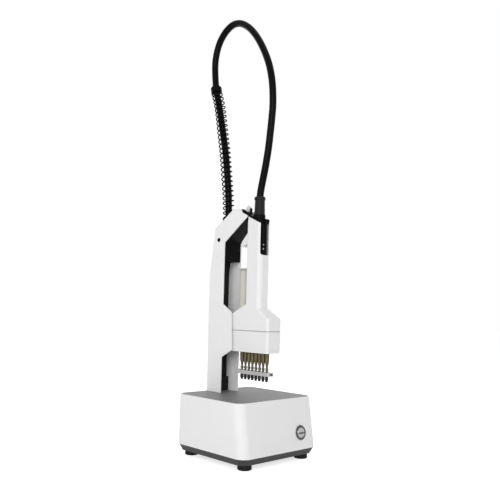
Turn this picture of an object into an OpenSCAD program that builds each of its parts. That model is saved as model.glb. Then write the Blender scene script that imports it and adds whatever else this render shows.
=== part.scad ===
// Eight-channel tube recapper: a motor-driven handpiece hanging in its holster stand.
// X is to the right, the front is -Y and Z is up. Bench level is Z = 0 and the origin is under
// the middle of the base. All sizes are millimetres.

/* [Base] */
// Width of the base housing
base_w = 181; // [140:1:240]
// Depth of the base housing at its foot
base_d = 177; // [150:1:240]
// Radius of the upright corners
base_corner_r = 18; // [8:1:30]
// Height of the lower edge of the white housing
base_z0 = 20; // [14:0.5:30]
// Height of the housing rim
base_top = 105.5; // [80:0.5:140]
// How far the front face leans back between foot and rim
front_setback = 13; // [0:0.5:25]
// Wall of the housing
base_wall = 3; // [2:0.5:5]
// Width of the white rim around the top plate
rim_w = 2.3; // [1.5:0.1:5]
// Thickness of the grey top plate
plate_t = 3; // [2:0.5:5]
// Depth of the top plate below the rim
plate_sink = 0; // [0:0.1:1]
// Width of the ledge that carries the top plate
ledge_w = 5; // [4:0.5:12]
// How far the tray tapers in at its lower edge
tray_inset = 6.2; // [2:0.1:10]
// Floor of the tray
tray_floor = 3; // [2:0.5:5]

/* [Feet] */
// Diameter of a rubber foot
foot_d = 24; // [16:0.5:30]
// Height of a rubber foot
foot_h = 9; // [6:0.5:12]
// Sideways distance of a foot from the middle
foot_x = 67.3; // [50:0.1:75]
// Front-to-back distance of a foot from the middle
foot_y = 68.2; // [50:0.1:72]
// Diameter of the foot screws
foot_screw_d = 4; // [3:0.5:5]

/* [Power button] */
// Sideways place of the button
button_x = 48.3; // [20:0.1:65]
// Height of the button on the front face
button_z = 47.6; // [40:0.1:75]
// Diameter of the bezel
bezel_d = 25; // [22:0.5:30]
// How far the bezel stands out of the front face
bezel_proud = 2.2; // [1:0.1:4]
// Diameter of the threaded barrel
barrel_d = 21.6; // [19:0.1:22]
// Diameter of the moving cap
button_d = 17.4; // [14:0.1:18]
// Travel of the cap
button_travel = 1.5; // [0.5:0.1:3]

/* [Electrics] */
// Width of the control board
board_w = 90; // [60:1:110]
// Depth of the control board
board_d = 70; // [50:1:90]
// Sideways place of the board, left of the middle
board_x = 28; // [20:1:30]
// Thickness of the board
board_t = 1.6; // [1:0.1:2.4]
// Diameter of the board standoffs
standoff_d = 6; // [4:0.5:8]
// Height of the board standoffs
standoff_h = 8; // [5:0.5:12]
// Width of the power supply
supply_w = 34; // [25:1:38]
// Depth of the power supply
supply_d = 80; // [60:1:100]
// Height of the power supply
supply_h = 30; // [20:1:45]
// Sideways place of the left side of the power supply
supply_x = 28; // [22:1:32]
// Spacing of the vent slots in the power supply
vent_pitch = 10; // [6:0.5:12]
// Diameter of the DC inlet
inlet_d = 12; // [8:0.5:16]
// Height of the DC inlet
inlet_z = 46; // [35:1:70]

/* [Tower] */
// Outside width of the tower
tower_w = 44; // [42:0.5:56]
// Sheet thickness of the tower
sheet_t = 2; // [1.5:0.1:3]
// Front edge of the tower
tower_front = 48.5; // [40:0.5:55]
// Back face of the tower, in the frame of tower and handpiece
tower_back = 87.5; // [80:0.5:90]
// Gap between the back of the base and the back of the tower
tower_gap = 1; // [0.5:0.5:8]
// How far the holster arms reach in front of the tower edge
arm_reach = 25.5; // [15:0.5:28]
// Height where the arms begin
arm_z0 = 169.5; // [150:0.5:175]
// Height of the slanted edge under and over the arms
arm_slant = 14; // [8:0.5:20]
// Height of the upright front edge of the arms
arm_h = 68; // [50:0.5:80]
// Height where the back of the tower bends forward
bend_z = 322; // [300:1:340]
// Height of the tower shoulder
shoulder_z = 408; // [395:0.5:420]
// Front-to-back place of the tower shoulder
shoulder_y = 75; // [70:0.5:80]
// Height where the neck leaves the tower front
throat_z = 383; // [370:0.5:395]
// Front-to-back place of the neck tip
tip_y = -10.8; // [-14:0.1:-6]
// Height of the lower corner of the neck tip
tip_z = 422; // [415:0.5:428]
// Height of the blunt end of the neck tip
tip_rise = 2.4; // [2:0.1:4]
// Front-to-back place of the notch that leaves the hanging tongue in view
notch_y = 2.9; // [0:0.1:5]
// Height of the notch
notch_z = 430.8; // [428:0.1:433]
// Front-to-back place of the neck crest
crest_y = 6.8; // [5:0.1:12]
// Height of the neck crest
crest_z = 437.8; // [435:0.1:440]
// Thickness of the black back liner
liner_t = 5.5; // [3:0.5:8]
// Height of the lower edge of the black hood
hood_z0 = 345; // [320:1:360]
// Depth of the black inserts behind the white edges
hood_recess = 1; // [0.5:0.1:3]
// Height of the foot block
foot_block_h = 25; // [14:1:30]
// Depth of the foot block
foot_block_d = 6; // [5.5:0.5:16]

/* [Cable and spring] */
// Diameter of the cable
cable_d = 11; // [8:0.5:13]
// Sides of the cable tube
cable_sides = 10; // [8:1:12]
// Outside diameter of the cable spring
spring_od = 20; // [17:0.5:22]
// Wire diameter of the cable spring
spring_wire = 2.2; // [1.5:0.1:2.5]
// Turns of the cable spring
spring_turns = 33; // [25:1:40]
// Place of the spring socket
socket_y = 64; // [62:0.5:68]
// Diameter of the spring socket
socket_d = 22.4; // [22:0.1:26]
// Diameter of the stem of the socket in the neck
socket_stem_d = 15; // [14:0.5:17]
// Depth of the stem below the socket rim
socket_l = 28; // [24:0.5:30]
// Height of the socket rim
socket_top = 428; // [424:0.5:434]
// Length of the spring collar
collar_h = 14; // [8:0.5:18]

/* [Spindles and gears] */
// Number of spindles
spindle_n = 8; // [8]
// Spacing of the spindles
spindle_pitch = 9; // [9]
// Place of the rear spindle
row_y = 15.8; // [14:0.1:17]
// Diameter of a spindle shaft
shaft_d = 4.2; // [3:0.1:4.4]
// Diameter of the driver tip across corners
tip_d = 5.3; // [4.5:0.1:6]
// Height of the lower end of the driver tips
tip_z0 = 135; // [130:0.5:138]
// Length of a driver tip
tip_h = 7.5; // [5:0.5:9]
// Outside diameter of a brass sleeve
sleeve_d = 7; // [6.4:0.1:7.4]
// How far a sleeve hangs below the gear case
sleeve_drop = 16; // [10:0.5:18]
// Thickness of the sleeve flange
flange_t = 1.5; // [1:0.1:2]
// Teeth of each gear
gear_teeth = 15; // [15]
// Module of the gears
gear_module = 0.5; // [0.5]
// Pressure angle of the gears
gear_pressure = 25; // [25]
// Tooth thinning on each flank
gear_thin = 0.05; // [0.03:0.01:0.08]
// Face width of the gears
gear_w = 6; // [4:0.5:7]
// Diameter of the idler pins
idler_pin_d = 2.6; // [2:0.1:3]

/* [Gear case] */
// Width of the gear case
head_w = 34; // [32:0.5:36]
// Distance from the end spindles to the ends of the case
head_margin = 16.8; // [16:0.1:20]
// Corner radius of the case
head_r = 5.5; // [3:0.5:7]
// Height of the underside of the case
head_z0 = 182; // [178:0.5:186]
// Height of the seam between case and grip
seam_z = 220; // [218:0.5:226]
// Thickness of the case floor
case_floor = 8; // [6:0.5:10]
// Wall of the case and grip
shell_wall = 3; // [2:0.1:3.5]
// Width of the ledge for the bearing plate
bearing_ledge = 1.5; // [1:0.1:2]
// Height of the bearing plate above the case floor
bearing_h = 14; // [12:0.5:16]
// Thickness of the bearing plate
bearing_t = 4; // [3:0.5:5]
// End wall of the case, wide enough for the case screws
end_wall = 5.6; // [5:0.1:7]
// Diameter of the case screws
case_screw_d = 3; // [2.5:0.1:3.2]

/* [Grip] */
// Width of the grip
grip_w = 26; // [22:0.5:28]
// Depth of the grip
grip_d = 34.6; // [32:0.5:38]
// Place of the back of the grip
grip_back = -2.5; // [-4:0.1:-1]
// Radius of the front corners of the grip
grip_front_r = 8; // [5:0.5:9]
// Radius of the back corners of the grip
grip_back_r = 3; // [2:0.5:5]
// Wall of the grip tube
grip_wall = 2.5; // [2:0.1:3]
// Height of the case shoulder at the front
shoulder_front_z = 241; // [238:0.5:246]
// Height of the case shoulder at the back
shoulder_back_z = 248; // [244:0.5:252]
// Rise of the shoulder to the grip
shoulder_rise = 18; // [10:0.5:24]
// Height of the top of the grip at its back
grip_top = 425.3; // [418:0.1:432]
// Slope of the top of the grip
top_slope = 25.5; // [20:0.5:32]
// Thickness of the top cap
cap_t = 4; // [3:0.5:5]
// Width of the hanging tongue
tongue_w = 12; // [10:0.5:20]
// Place of the end of the tongue
tongue_end = 23.5; // [18:0.5:26]
// Height of the upright fin on the cap
fin_h = 11; // [6:0.5:14]
// Width of the fin
fin_w = 4; // [3:0.5:8]
// Thickness of the fin
fin_t = 1.8; // [1.5:0.1:3]
// Distance of the fin from the middle of the cap
fin_x = 3; // [0:0.5:4]
// Length of the spigot of the cap inside the grip
spigot_l = 16; // [10:0.5:20]

/* [Gland] */
// Place of the cable gland
gland_y = -20.5; // [-22:0.1:-18]
// Height of the gland seat above the top of the grip
gland_rise = 0.8; // [-2:0.1:4]
// Height of the gland
gland_h = 33.4; // [28:0.1:40]
// Diameter of the gland body at its foot
gland_d = 19.6; // [18:0.1:22]
// Diameter of the gland collar
gland_collar_d = 20.4; // [19:0.1:23]
// Height of the gland collar
gland_collar_h = 6; // [4:0.5:8]
// Length of the threaded shank of the gland
gland_shank = 26; // [20:0.5:30]
// Wall of the shank
gland_wall = 1.6; // [1.2:0.1:2]

/* [Trigger] */
// Width of the trigger lever
trigger_w = 20.6; // [16:0.1:22]
// Depth of the lower end of the trigger below the top of the grip
trigger_drop = 71.3; // [60:0.1:80]
// Thickness of the trigger lever
trigger_t = 5.6; // [4:0.1:6]
// Diameter of the hinge knuckle
knuckle_d = 7.6; // [7:0.1:9]
// Length of the hinge knuckle
knuckle_l = 4; // [3:0.1:6]
// Radius of the round front of the trigger
trigger_front_r = 13; // [11:0.5:16]
// Corner radius at the lower end of the trigger
trigger_corner_r = 4; // [2:0.5:6]
// Travel of the lower end of the trigger
trigger_swing = 3.8; // [3:0.1:5]
// Diameter of the trigger pin
trigger_pin_d = 3; // [2:0.1:4]
// Width of the trigger switch
switch_w = 12.8; // [10:0.1:14]
// Depth of the trigger switch
switch_d = 6; // [4:0.5:7]
// Height of the trigger switch
switch_h = 13; // [10:0.5:16]
// Height of the rib behind the switch
switch_rib_h = 28; // [20:1:32]

/* [Torque knob] */
// Diameter of the torque knob
knob_d = 10; // [7:0.1:11]
// Height of the torque knob
knob_h = 9.5; // [6:0.5:10]
// Place of the knob on the tongue
knob_y = 12; // [10:0.1:14]

/* [Motor] */
// Diameter of the motor
motor_d = 16; // [14:0.5:18]
// Height of the top of the motor can
motor_top = 326; // [300:1:335]
// Height of the motor end cap
motor_cap_h = 5; // [3:0.5:8]
// Diameter of the mounting flange
motor_flange_d = 20; // [19:0.5:22]
// Height of the lower groove of the can above its foot
motor_groove_low = 34; // [20:1:40]
// Depth of the upper groove of the can below its top
motor_groove_high = 14; // [8:1:20]

/* [Stripper] */
// Width of the stripper bar
stripper_w = 14; // [11:0.5:16]
// Thickness of the stripper bar
stripper_t = 6.5; // [5:0.5:7]
// Holes in the stripper bar
stripper_hole_d = 7; // [6.5:0.1:7.4]
// Travel of the stripper bar
stripper_travel = 8; // [4:0.5:8]
// Diameter of the head of the stripper pin
pin_head_d = 3.2; // [2.5:0.1:5]
// Length of the head of the stripper pin
pin_head_l = 3.2; // [2:0.1:5]
// Diameter of the guide rods
rod_d = 3.5; // [3:0.1:4]
// Distance of the guide rods from the end spindles
rod_offset = 7.4; // [7.2:0.1:8]

/* [Finger rest] */
// Width of the finger rest
rest_w = 12; // [8:0.5:16]
// Depth of the finger rest below the top of the grip
rest_drop = 23.8; // [18:0.1:30]
// Length of the finger rest
rest_l = 22; // [18:0.5:26]
// Height of the finger rest where it meets the grip
rest_h = 34.5; // [30:0.5:40]
// Fall of its slanting top from the grip to the tip
rest_fall = 23; // [18:0.5:26]

/* [Clearances] */
// Radial clearance of a running fit
run_c = 0.05; // [0.02:0.01:0.08]
// Radial clearance of a pressed or screwed fit
fit_c = 0.02; // [0.01:0.01:0.05]
// Clearance round a screw shank
screw_c = 0.1; // [0.05:0.05:0.2]
// Gap between pieces that move past each other
move_c = 0.3; // [0.25:0.05:0.5]
// Gap round a piece that drops into another
drop_c = 0.1; // [0.05:0.05:0.3]
// Gap between the bent cable and the bore of its collar
collar_c = 0.4; // [0.3:0.05:0.6]

/* [Hidden] */
$fn = 64;

white = [0.90, 0.90, 0.90];
black = [0.10, 0.10, 0.10];
plate_grey = [0.52, 0.52, 0.53];
dark_grey = [0.28, 0.28, 0.29];
rubber = [0.06, 0.06, 0.06];
steel = [0.72, 0.72, 0.73];
brass = [0.62, 0.54, 0.32];
light_grey = [0.78, 0.78, 0.77];
board_green = [0.10, 0.35, 0.20];

big = 400;
eps = 0.01;

// Base
plate_top = base_top - plate_sink;
plate_z0 = plate_top - plate_t;
ledge_z0 = plate_z0 - base_wall;
front_angle = atan(front_setback / (base_top - base_z0));
tray_z0 = foot_h;
tray_top = base_z0;
tray_in_z = tray_z0 + tray_floor;
post_d = foot_screw_d + 6;
foot_head_d = foot_screw_d + 3.5;
foot_head_h = 2.5;
foot_head_z = 3;
button_y = front_at(button_z);
nut_t = 4;
barrel_l = 16;

// Tower
tower_h = base_top;
tower_y = base_d / 2 - tower_gap - tower_back;
cheek_in = tower_w / 2 - sheet_t;
back_in = tower_back - sheet_t;
arm_front = tower_front - arm_reach;
arm_z1 = arm_z0 + arm_slant;
arm_z2 = arm_z1 + arm_h;
arm_z3 = arm_z2 + arm_slant;
cheek_screw_y = socket_y;
cheek_screw_z = throat_z + 1.5;
cheek_screw_d = 4;
bolt_d = 3;
bolt_grip = 11;
bolt_x = cheek_in * 0.6;
bolt_y = back_in - liner_t - foot_block_d / 2;
neck_rear_y = 57;
neck_rear_z = 418;
neck_front_y = 27;
neck_front_z = 438.3;
roof_y = 50;

// Handpiece
row_end = row_y - (spindle_n - 1) * spindle_pitch;
head_back = row_y + head_margin;
head_front = row_end - head_margin;
cavity_back = head_back - end_wall;
cavity_front = head_front + end_wall;
case_floor_z = head_z0 + case_floor;
bearing_z = case_floor_z + bearing_h;
cavity_half = head_w / 2 - shell_wall;
gear_z = case_floor_z + flange_t + 2.5;
grip_front = grip_back - grip_d;
grip_in = grip_w / 2 - grip_wall;
cavity_roof = shoulder_front_z - shell_wall;
groove = 0.8;
seam_h = 1.5;
rod_y1 = row_y + rod_offset;
rod_y2 = row_end - rod_offset;
clip_d = rod_d + 1.7;
clip_t = 2;
clip_z = case_floor_z + stripper_travel + 0.5;
stripper_z = tip_z0 + tip_h;
stripper_back = rod_y1 + rod_d / 2 + 1.2;
stripper_front = rod_y2 - rod_d / 2 - 1.2;
case_screw_side = 7;
case_screw_x = head_w / 2 - case_screw_side;
case_screw_in = end_wall / 2 + 0.8;
case_screw_head = case_screw_d + 2.2;
case_screw_head_h = case_screw_d * 0.6;
case_screw_grip = 2 * case_screw_d;
counterbore = case_screw_head_h + drop_c;
pin_bore_depth = 3.5;
motor_z0 = cavity_roof - 3;
motor_bore_depth = 14;
drive_top = motor_z0 + motor_bore_depth - 1;
coupling_z0 = bearing_z + bearing_t + 3;
coupling_h = 12;

// Gears: each idler stands beside the row and meshes with two spindle gears, so that all
// spindles turn the same way.
pitch_r = gear_module * gear_teeth / 2;
idler_x = sqrt(4 * pitch_r * pitch_r - spindle_pitch * spindle_pitch / 4);
mesh_angle = atan(spindle_pitch / 2 / idler_x);
tooth_angle = 360 / gear_teeth;
function spindle_y(k) = row_y - k * spindle_pitch;
function spindle_phase(k) = k * 4 * mesh_angle;
function idler_phase(k) = -2 * mesh_angle + 180 + tooth_angle / 2 - spindle_phase(k);

// Heights that follow the top of the grip
gland_z0 = grip_top + gland_rise;
trigger_z0 = grip_top - trigger_drop;
rest_z = grip_top - rest_drop;

// Trigger
knuckle_out = 1.1;
knuckle_rise = 5.6;
knuckle_y = grip_front - knuckle_out;
knuckle_z = cap_under(knuckle_y) + knuckle_rise;
trigger_in = 0.5;
trigger_front = grip_front + trigger_in;
trigger_back = trigger_front + trigger_t;
trigger_gap = 1;
ear_t = 1.9;
fin_y = grip_back + fin_t / 2 + 0.1;

// Cable route, x = 0: height and place of hand-chosen points from the socket over the loop
// down to the gland.
cable_path = [[64, 410], [64, 440], [66, 475], [70, 506], [73.5, 531], [79, 562], [85.5, 590],
              [94, 626], [103, 661], [110, 684], [114.5, 706], [117.5, 740], [114, 766], [104, 788],
              [87, 804], [67, 811], [47, 808], [28, 797], [9.5, 780], [-9.5, 755], [-26, 726],
              [-37, 700], [-44, 673], [-47, 650], [-48, 626], [-46.5, 604], [-44, 582],
              [-39.5, 548], [-33, 515], [-26, 487], [-22, 470], [-20.5, 458], [-20.5, 447], [-20.5, 436]];

function unit(v) = v / norm(v);

// Rounded outline: each point is [x, y, radius]; a radius of 0 keeps the corner sharp.
function corner(a, b, c, r, n) =
    r == 0 ? [b] :
    let (u = unit(a - b), v = unit(c - b), half = acos(u * v) / 2, d = r / tan(half),
         m = b + unit(u + v) * r / sin(half), s = b + u * d - m, e = b + v * d - m,
         sweep = 180 - 2 * half)
    [for (i = [0:n]) m + (sin(sweep * (1 - i / n)) * s + sin(sweep * i / n) * e) / sin(sweep)];
function rounded(p, n = 8) =
    [for (i = [0:len(p) - 1])
        let (l = len(p), a = p[(i + l - 1) % l], b = p[i], c = p[(i + 1) % l])
        each corner([a[0], a[1]], [b[0], b[1]], [c[0], c[1]], b[2], n)];
// Point beside corner b of the line a, b, c: a distance t to the right of both of its edges.
function right_of(v) = [v[1], -v[0]];
function inset(a, b, c, t) =
    let (m = right_of(unit(b - a)), n = right_of(unit(c - b)), w = unit(m + n)) b + w * t / (w * m);

// Extrudes an outline drawn as [y, z] along X.
module side_extrude(x0, x1) {
    translate([x0, 0, 0]) rotate([90, 0, 90]) linear_extrude(x1 - x0) children();
}

// Rectangle with its own radius at the front and at the back corners.
module round_rect(half_w, y0, y1, front_r, back_r) {
    translate([-half_w, y0 + front_r]) square([2 * half_w, y1 - back_r - y0 - front_r]);
    translate([-half_w + front_r, y0]) square([2 * (half_w - front_r), (y1 - y0) / 2]);
    translate([-half_w + back_r, (y0 + y1) / 2]) square([2 * (half_w - back_r), (y1 - y0) / 2]);
    for (s = [-1, 1]) {
        translate([s * (half_w - front_r), y0 + front_r]) circle(front_r);
        translate([s * (half_w - back_r), y1 - back_r]) circle(back_r);
    }
}

module ring(outer_r, inner_r, h) {
    difference() {
        cylinder(r = outer_r, h = h);
        translate([0, 0, -1]) cylinder(r = inner_r, h = h + 2);
    }
}

// Button-head screw along Z: the head stands on z = 0 and the shank goes down.
module screw(shank_d, shank_l, head_d, head_h) {
    translate([0, 0, -shank_l]) cylinder(d = shank_d, h = shank_l + eps);
    difference() {
        rotate_extrude() polygon([[0, 0], [head_d / 2, 0], [head_d / 2, head_h * 0.55],
                                  [head_d / 2 - head_h * 0.45, head_h], [0, head_h]]);
        translate([0, 0, head_h * 0.4]) cylinder(d = head_d * 0.4, h = head_h, $fn = 6);
    }
}

// Place of the front face at height z.
function front_at(z) = -base_d / 2 + (z - base_z0) * tan(front_angle);

// Slab of the base outline between two heights, moved in by an inset: an upright prism for the
// sides and back, cut by a leaning one for the front.
module base_prism(z0, z1, inward) {
    r = max(base_corner_r - inward, 1);
    intersection() {
        translate([0, 0, z0]) linear_extrude(z1 - z0)
            round_rect(base_w / 2 - inward, -base_d, base_d / 2 - inward, 1, r);
        translate([0, -base_d / 2, base_z0]) rotate([-front_angle, 0, 0]) translate([0, 0, -base_top])
            linear_extrude(3 * base_top) round_rect(base_w / 2 - inward, inward, 2 * base_d, r, 1);
    }
}

// Tower, cable and handpiece keep their places to each other and stand at the back of the base.
module at_tower() {
    translate([0, tower_y, 0]) children();
}

module each_foot() {
    for (x = [-foot_x, foot_x], y = [-foot_y, foot_y]) translate([x, y, 0]) children();
}

module on_front_face() {
    translate([button_x, button_y, button_z]) rotate([90 - front_angle, 0, 0]) children();
}

// White housing with its rim, plate ledge, screw posts and the holes for button and inlet.
module base_housing() {
    color(white) difference() {
        union() {
            difference() {
                base_prism(base_z0, base_top, 0);
                base_prism(base_z0 - 1, ledge_z0, base_wall);
                base_prism(ledge_z0 - 1, plate_z0 + 1, rim_w + ledge_w);
                base_prism(plate_z0, base_top + 1, rim_w);
            }
            each_foot() translate([0, 0, base_z0]) cylinder(d = post_d, h = plate_z0 - base_z0);
            for (s = [-1, 1], y = [-foot_y, foot_y])
                translate([s > 0 ? foot_x : -base_w / 2 + base_wall / 2, y - base_wall / 2, base_z0 + 20])
                    cube([base_w / 2 - base_wall / 2 - foot_x, base_wall, ledge_z0 + 1 - base_z0 - 20]);
        }
        each_foot() translate([0, 0, base_z0 - 1]) cylinder(d = foot_screw_d + 2 * fit_c, h = 15);
        on_front_face() translate([0, 0, -base_wall - 4])
            cylinder(d = barrel_d + 2 * screw_c, h = base_wall + 8);
        translate([0, base_d / 2 + 1, inlet_z]) rotate([90, 0, 0])
            cylinder(d = inlet_d + 2 * fit_c, h = base_wall + 4);
    }
}

module top_plate() {
    color(plate_grey) difference() {
        base_prism(plate_z0, plate_top, rim_w + drop_c);
        at_tower() for (s = [-1, 1]) translate([s * bolt_x, bolt_y, plate_z0 - 1])
            cylinder(d = bolt_d + 2 * screw_c, h = plate_t + 2);
    }
}

module bottom_tray() {
    color(dark_grey) difference() {
        hull() {
            translate([0, 0, tray_z0]) linear_extrude(eps)
                round_rect(base_w / 2 - tray_inset, -base_d / 2 + tray_inset, base_d / 2 - tray_inset,
                           base_corner_r - 4, base_corner_r - 4);
            translate([0, 0, tray_top - eps]) linear_extrude(eps)
                round_rect(base_w / 2 - 0.4, -base_d / 2 + 0.4, base_d / 2 - 0.4,
                           base_corner_r - 0.4, base_corner_r - 0.4);
        }
        difference() {
            translate([0, 0, tray_in_z]) linear_extrude(tray_top)
                round_rect(base_w / 2 - tray_inset - 3, -base_d / 2 + tray_inset + 3,
                           base_d / 2 - tray_inset - 3, base_corner_r - 6, base_corner_r - 6);
            each_foot() cylinder(d = post_d + 4, h = big);
        }
        each_foot() cylinder(d = foot_screw_d + 2 * screw_c, h = big);
    }
}

module rubber_feet() {
    color(rubber) each_foot() rotate_extrude()
        polygon([[foot_screw_d / 2 + screw_c, foot_head_z + foot_head_h],
                 [foot_head_d / 2 + 0.3, foot_head_z + foot_head_h],
                 [foot_head_d / 2 + 0.3, 0], [foot_d / 2 - 1.5, 0], [foot_d / 2, 1.5],
                 [foot_d / 2 - 0.8, foot_h], [foot_screw_d / 2 + screw_c, foot_h]]);
}

module foot_screws() {
    color(steel) each_foot() translate([0, 0, foot_head_z + foot_head_h]) mirror([0, 0, 1])
        screw(foot_screw_d, base_z0 + 10 - foot_head_z - foot_head_h, foot_head_d, foot_head_h);
}

module each_standoff() {
    for (x = [-1, 1], y = [-1, 1])
        translate([-board_x + x * (board_w / 2 - standoff_d), y * (board_d / 2 - standoff_d), tray_in_z])
            children();
}
module board_standoffs() {
    color(steel) each_standoff() cylinder(d = standoff_d, h = standoff_h);
}
// Board with its larger components: each is placed and sized as shares of board and standoffs.
module control_board() {
    parts = [[-0.22, -0.17, 0.16, 0.20, 0.4], [0.07, -0.23, 0.24, 0.17, 1], [-0.07, 0.17, 0.11, 0.26, 1.5],
             [0.24, 0.14, 0.09, 0.23, 1.2]];
    color(board_green) translate([-board_x, 0, tray_in_z + standoff_h]) {
        translate([-board_w / 2, -board_d / 2, 0]) cube([board_w, board_d, board_t]);
        for (c = parts) translate([c[0] * board_w, c[1] * board_d, board_t - eps])
            cube([c[2] * board_w, c[3] * board_d, c[4] * standoff_h]);
    }
}
module power_supply() {
    slots = floor(supply_d / vent_pitch) - 1;
    color(dark_grey) translate([supply_x, -supply_d / 2, tray_in_z]) difference() {
        cube([supply_w, supply_d, supply_h]);
        for (i = [1:slots]) translate([supply_w * 0.18, i * vent_pitch - vent_pitch * 0.15, supply_h * 0.93])
            cube([supply_w * 0.64, vent_pitch * 0.3, supply_h]);
    }
}
// Socket for the plug of the supply, screwed into the back wall from inside.
module dc_inlet() {
    color(rubber) translate([0, base_d / 2, inlet_z]) rotate([90, 0, 0]) difference() {
        union() {
            cylinder(d = inlet_d, h = 16);
            translate([0, 0, base_wall]) cylinder(d = inlet_d + 5, h = 3);
        }
        translate([0, 0, -1]) cylinder(d = inlet_d - 4, h = 11);
        cylinder(d1 = inlet_d - 2, d2 = inlet_d - 4, h = 1);
    }
}

module button_bezel() {
    color(steel) on_front_face() difference() {
        union() {
            rotate_extrude() polygon([[0, 0], [bezel_d / 2, 0], [bezel_d / 2, bezel_proud * 0.5],
                                      [bezel_d / 2 - bezel_proud * 0.9, bezel_proud], [0, bezel_proud]]);
            translate([0, 0, -barrel_l]) cylinder(d = barrel_d, h = barrel_l + eps);
        }
        translate([0, 0, -7]) cylinder(r = button_d / 2 + move_c, h = 20);
        translate([0, 0, -13]) cylinder(r = 2 + run_c, h = 10);
    }
}
module button_nut() {
    color(steel) on_front_face() translate([0, 0, -base_wall - nut_t]) difference() {
        cylinder(d = barrel_d + 6, h = nut_t, $fn = 6);
        translate([0, 0, -1]) cylinder(d = barrel_d + 2 * fit_c, h = nut_t + 2);
    }
}
module power_button() {
    color(steel) on_front_face() {
        rotate_extrude() polygon([[0, -4], [button_d / 2, -4], [button_d / 2, bezel_proud - 0.6],
                                  [button_d / 2 - 0.8, bezel_proud + 0.2], [0, bezel_proud + 0.2]]);
        translate([0, 0, -10]) cylinder(r = 2, h = 7);
    }
}

// Side outline of the tower as [y, z, radius]: up the front edge, out along the arm and the
// neck, over the crest and down the back.
function tower_outline() = [
    [tower_front, tower_h, 0], [tower_front, arm_z0, 3], [arm_front - 2, arm_z1, 3],
    [arm_front + 2, arm_z2, 3], [tower_front, arm_z3, 4], [tower_front, throat_z - 4, 6],
    [tip_y, tip_z, 1], [tip_y, tip_z + tip_rise, 1], [notch_y, notch_z, 1.5], [crest_y, crest_z, 2.5],
    [neck_front_y, neck_front_z, 12],
    [neck_rear_y, neck_rear_z, 40], [shoulder_y, shoulder_z, 8], [tower_back, bend_z, 60],
    [tower_back, tower_h, 0]];
function back_line() = [for (p = [[neck_front_y, neck_front_z], [neck_rear_y, neck_rear_z],
    [shoulder_y, shoulder_z], [tower_back, bend_z], [tower_back, tower_h]]) p];
function back_inside() = let (b = back_line()) [
    inset(b[0], b[1], b[2], sheet_t), inset(b[1], b[2], b[3], sheet_t), inset(b[2], b[3], b[4], sheet_t)];
// Height of the inner face of the roof at y, on the straight stretch of the neck.
function roof_in(y) = let (p = back_inside()[0])
    p[1] + (p[0] - y) * (neck_front_z - neck_rear_z) / (neck_rear_y - neck_front_y);

module tower_shell() {
    p = back_inside();
    color(white) at_tower() difference() {
        side_extrude(-tower_w / 2, tower_w / 2) polygon(rounded(tower_outline()));
        side_extrude(-cheek_in, cheek_in) polygon([
            [back_in, tower_h - 1], p[2], p[1], p[0], [roof_y, roof_in(roof_y)], [roof_y, big * 1.2],
            [-big, big * 1.2], [-big, tower_h - 1]]);
        translate([0, socket_y, hood_z0]) cylinder(d = socket_stem_d + 2 * drop_c, h = big);
        for (s = [-1, 1]) translate([s * tower_w / 2, cheek_screw_y, cheek_screw_z]) rotate([0, 90, 0])
            cylinder(d = cheek_screw_d + 2 * screw_c, h = 4 * sheet_t, center = true);
    }
}
// Inner face of the back wall at height z, below the tower shoulder.
function back_in_at(z) = let (p = back_inside())
    z <= p[2][1] ? back_in : back_in - (z - p[2][1]) * (back_in - p[1][0]) / (p[1][1] - p[2][1]);

module tower_liner() {
    bend = min(back_inside()[2][1], hood_z0 - 1);
    top = back_in_at(hood_z0);
    color(black) at_tower() side_extrude(-cheek_in + drop_c, cheek_in - drop_c) polygon([
        [back_in - liner_t, tower_h], [back_in - fit_c, tower_h], [back_in - fit_c, bend],
        [top - fit_c, hood_z0], [top - liner_t, hood_z0], [back_in - liner_t, bend]]);
}

// Underside of the cap at y: the seat of the hanging tongue lies a moving gap below it.
function cap_under(y) = grip_top + (y - grip_back) * tan(top_slope);

module neck_hood() {
    p = back_inside();
    nose_y = grip_back + 2 * move_c;
    under = (tip_z - throat_z + 4) / (tower_front - tip_y);
    function under_z(y) = throat_z - 4 + (tower_front - y) * under + hood_recess / cos(atan(under));
    color(black) at_tower() difference() {
        side_extrude(-cheek_in + drop_c, cheek_in - drop_c) polygon([
            [tower_front + hood_recess, tower_h],
            [tower_front + hood_recess, under_z(tower_front + hood_recess)],
            [nose_y, under_z(nose_y)], [nose_y, cap_under(nose_y) - move_c],
            [tongue_end + 0.5, cap_under(tongue_end + 0.5) - move_c],
            [roof_y - drop_c, roof_in(roof_y)], p[0], p[1], p[2], [back_in, tower_h]]);
        translate([-big / 2, -big / 2, 0]) cube([big, big, hood_z0]);
        translate([0, socket_y, socket_top - socket_l]) cylinder(d = socket_stem_d + 2 * drop_c, h = big);
        for (s = [-1, 1]) translate([s * (cheek_in - 4), cheek_screw_y, cheek_screw_z]) rotate([0, 90, 0])
            cylinder(d = cheek_screw_d + 2 * fit_c, h = 10, center = true);
    }
}
module foot_block() {
    color(black) at_tower() difference() {
        translate([-cheek_in + drop_c, back_in - liner_t - foot_block_d, tower_h])
            cube([2 * (cheek_in - drop_c), foot_block_d, foot_block_h]);
        for (s = [-1, 1]) translate([s * bolt_x, bolt_y, tower_h - 1])
            cylinder(d = bolt_d + 2 * fit_c, h = bolt_grip + 2);
    }
}
module cheek_screws() {
    color(black) at_tower() for (s = [-1, 1]) translate([s * tower_w / 2, cheek_screw_y, cheek_screw_z])
        rotate([0, s * 90, 0]) screw(cheek_screw_d, sheet_t + 7, 7.4, 1.6);
}
module tower_bolts() {
    color(steel) at_tower() for (s = [-1, 1]) translate([s * bolt_x, bolt_y, plate_z0]) mirror([0, 0, 1])
        screw(bolt_d, plate_t + bolt_grip, 1.8 * bolt_d, bolt_d);
}

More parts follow.
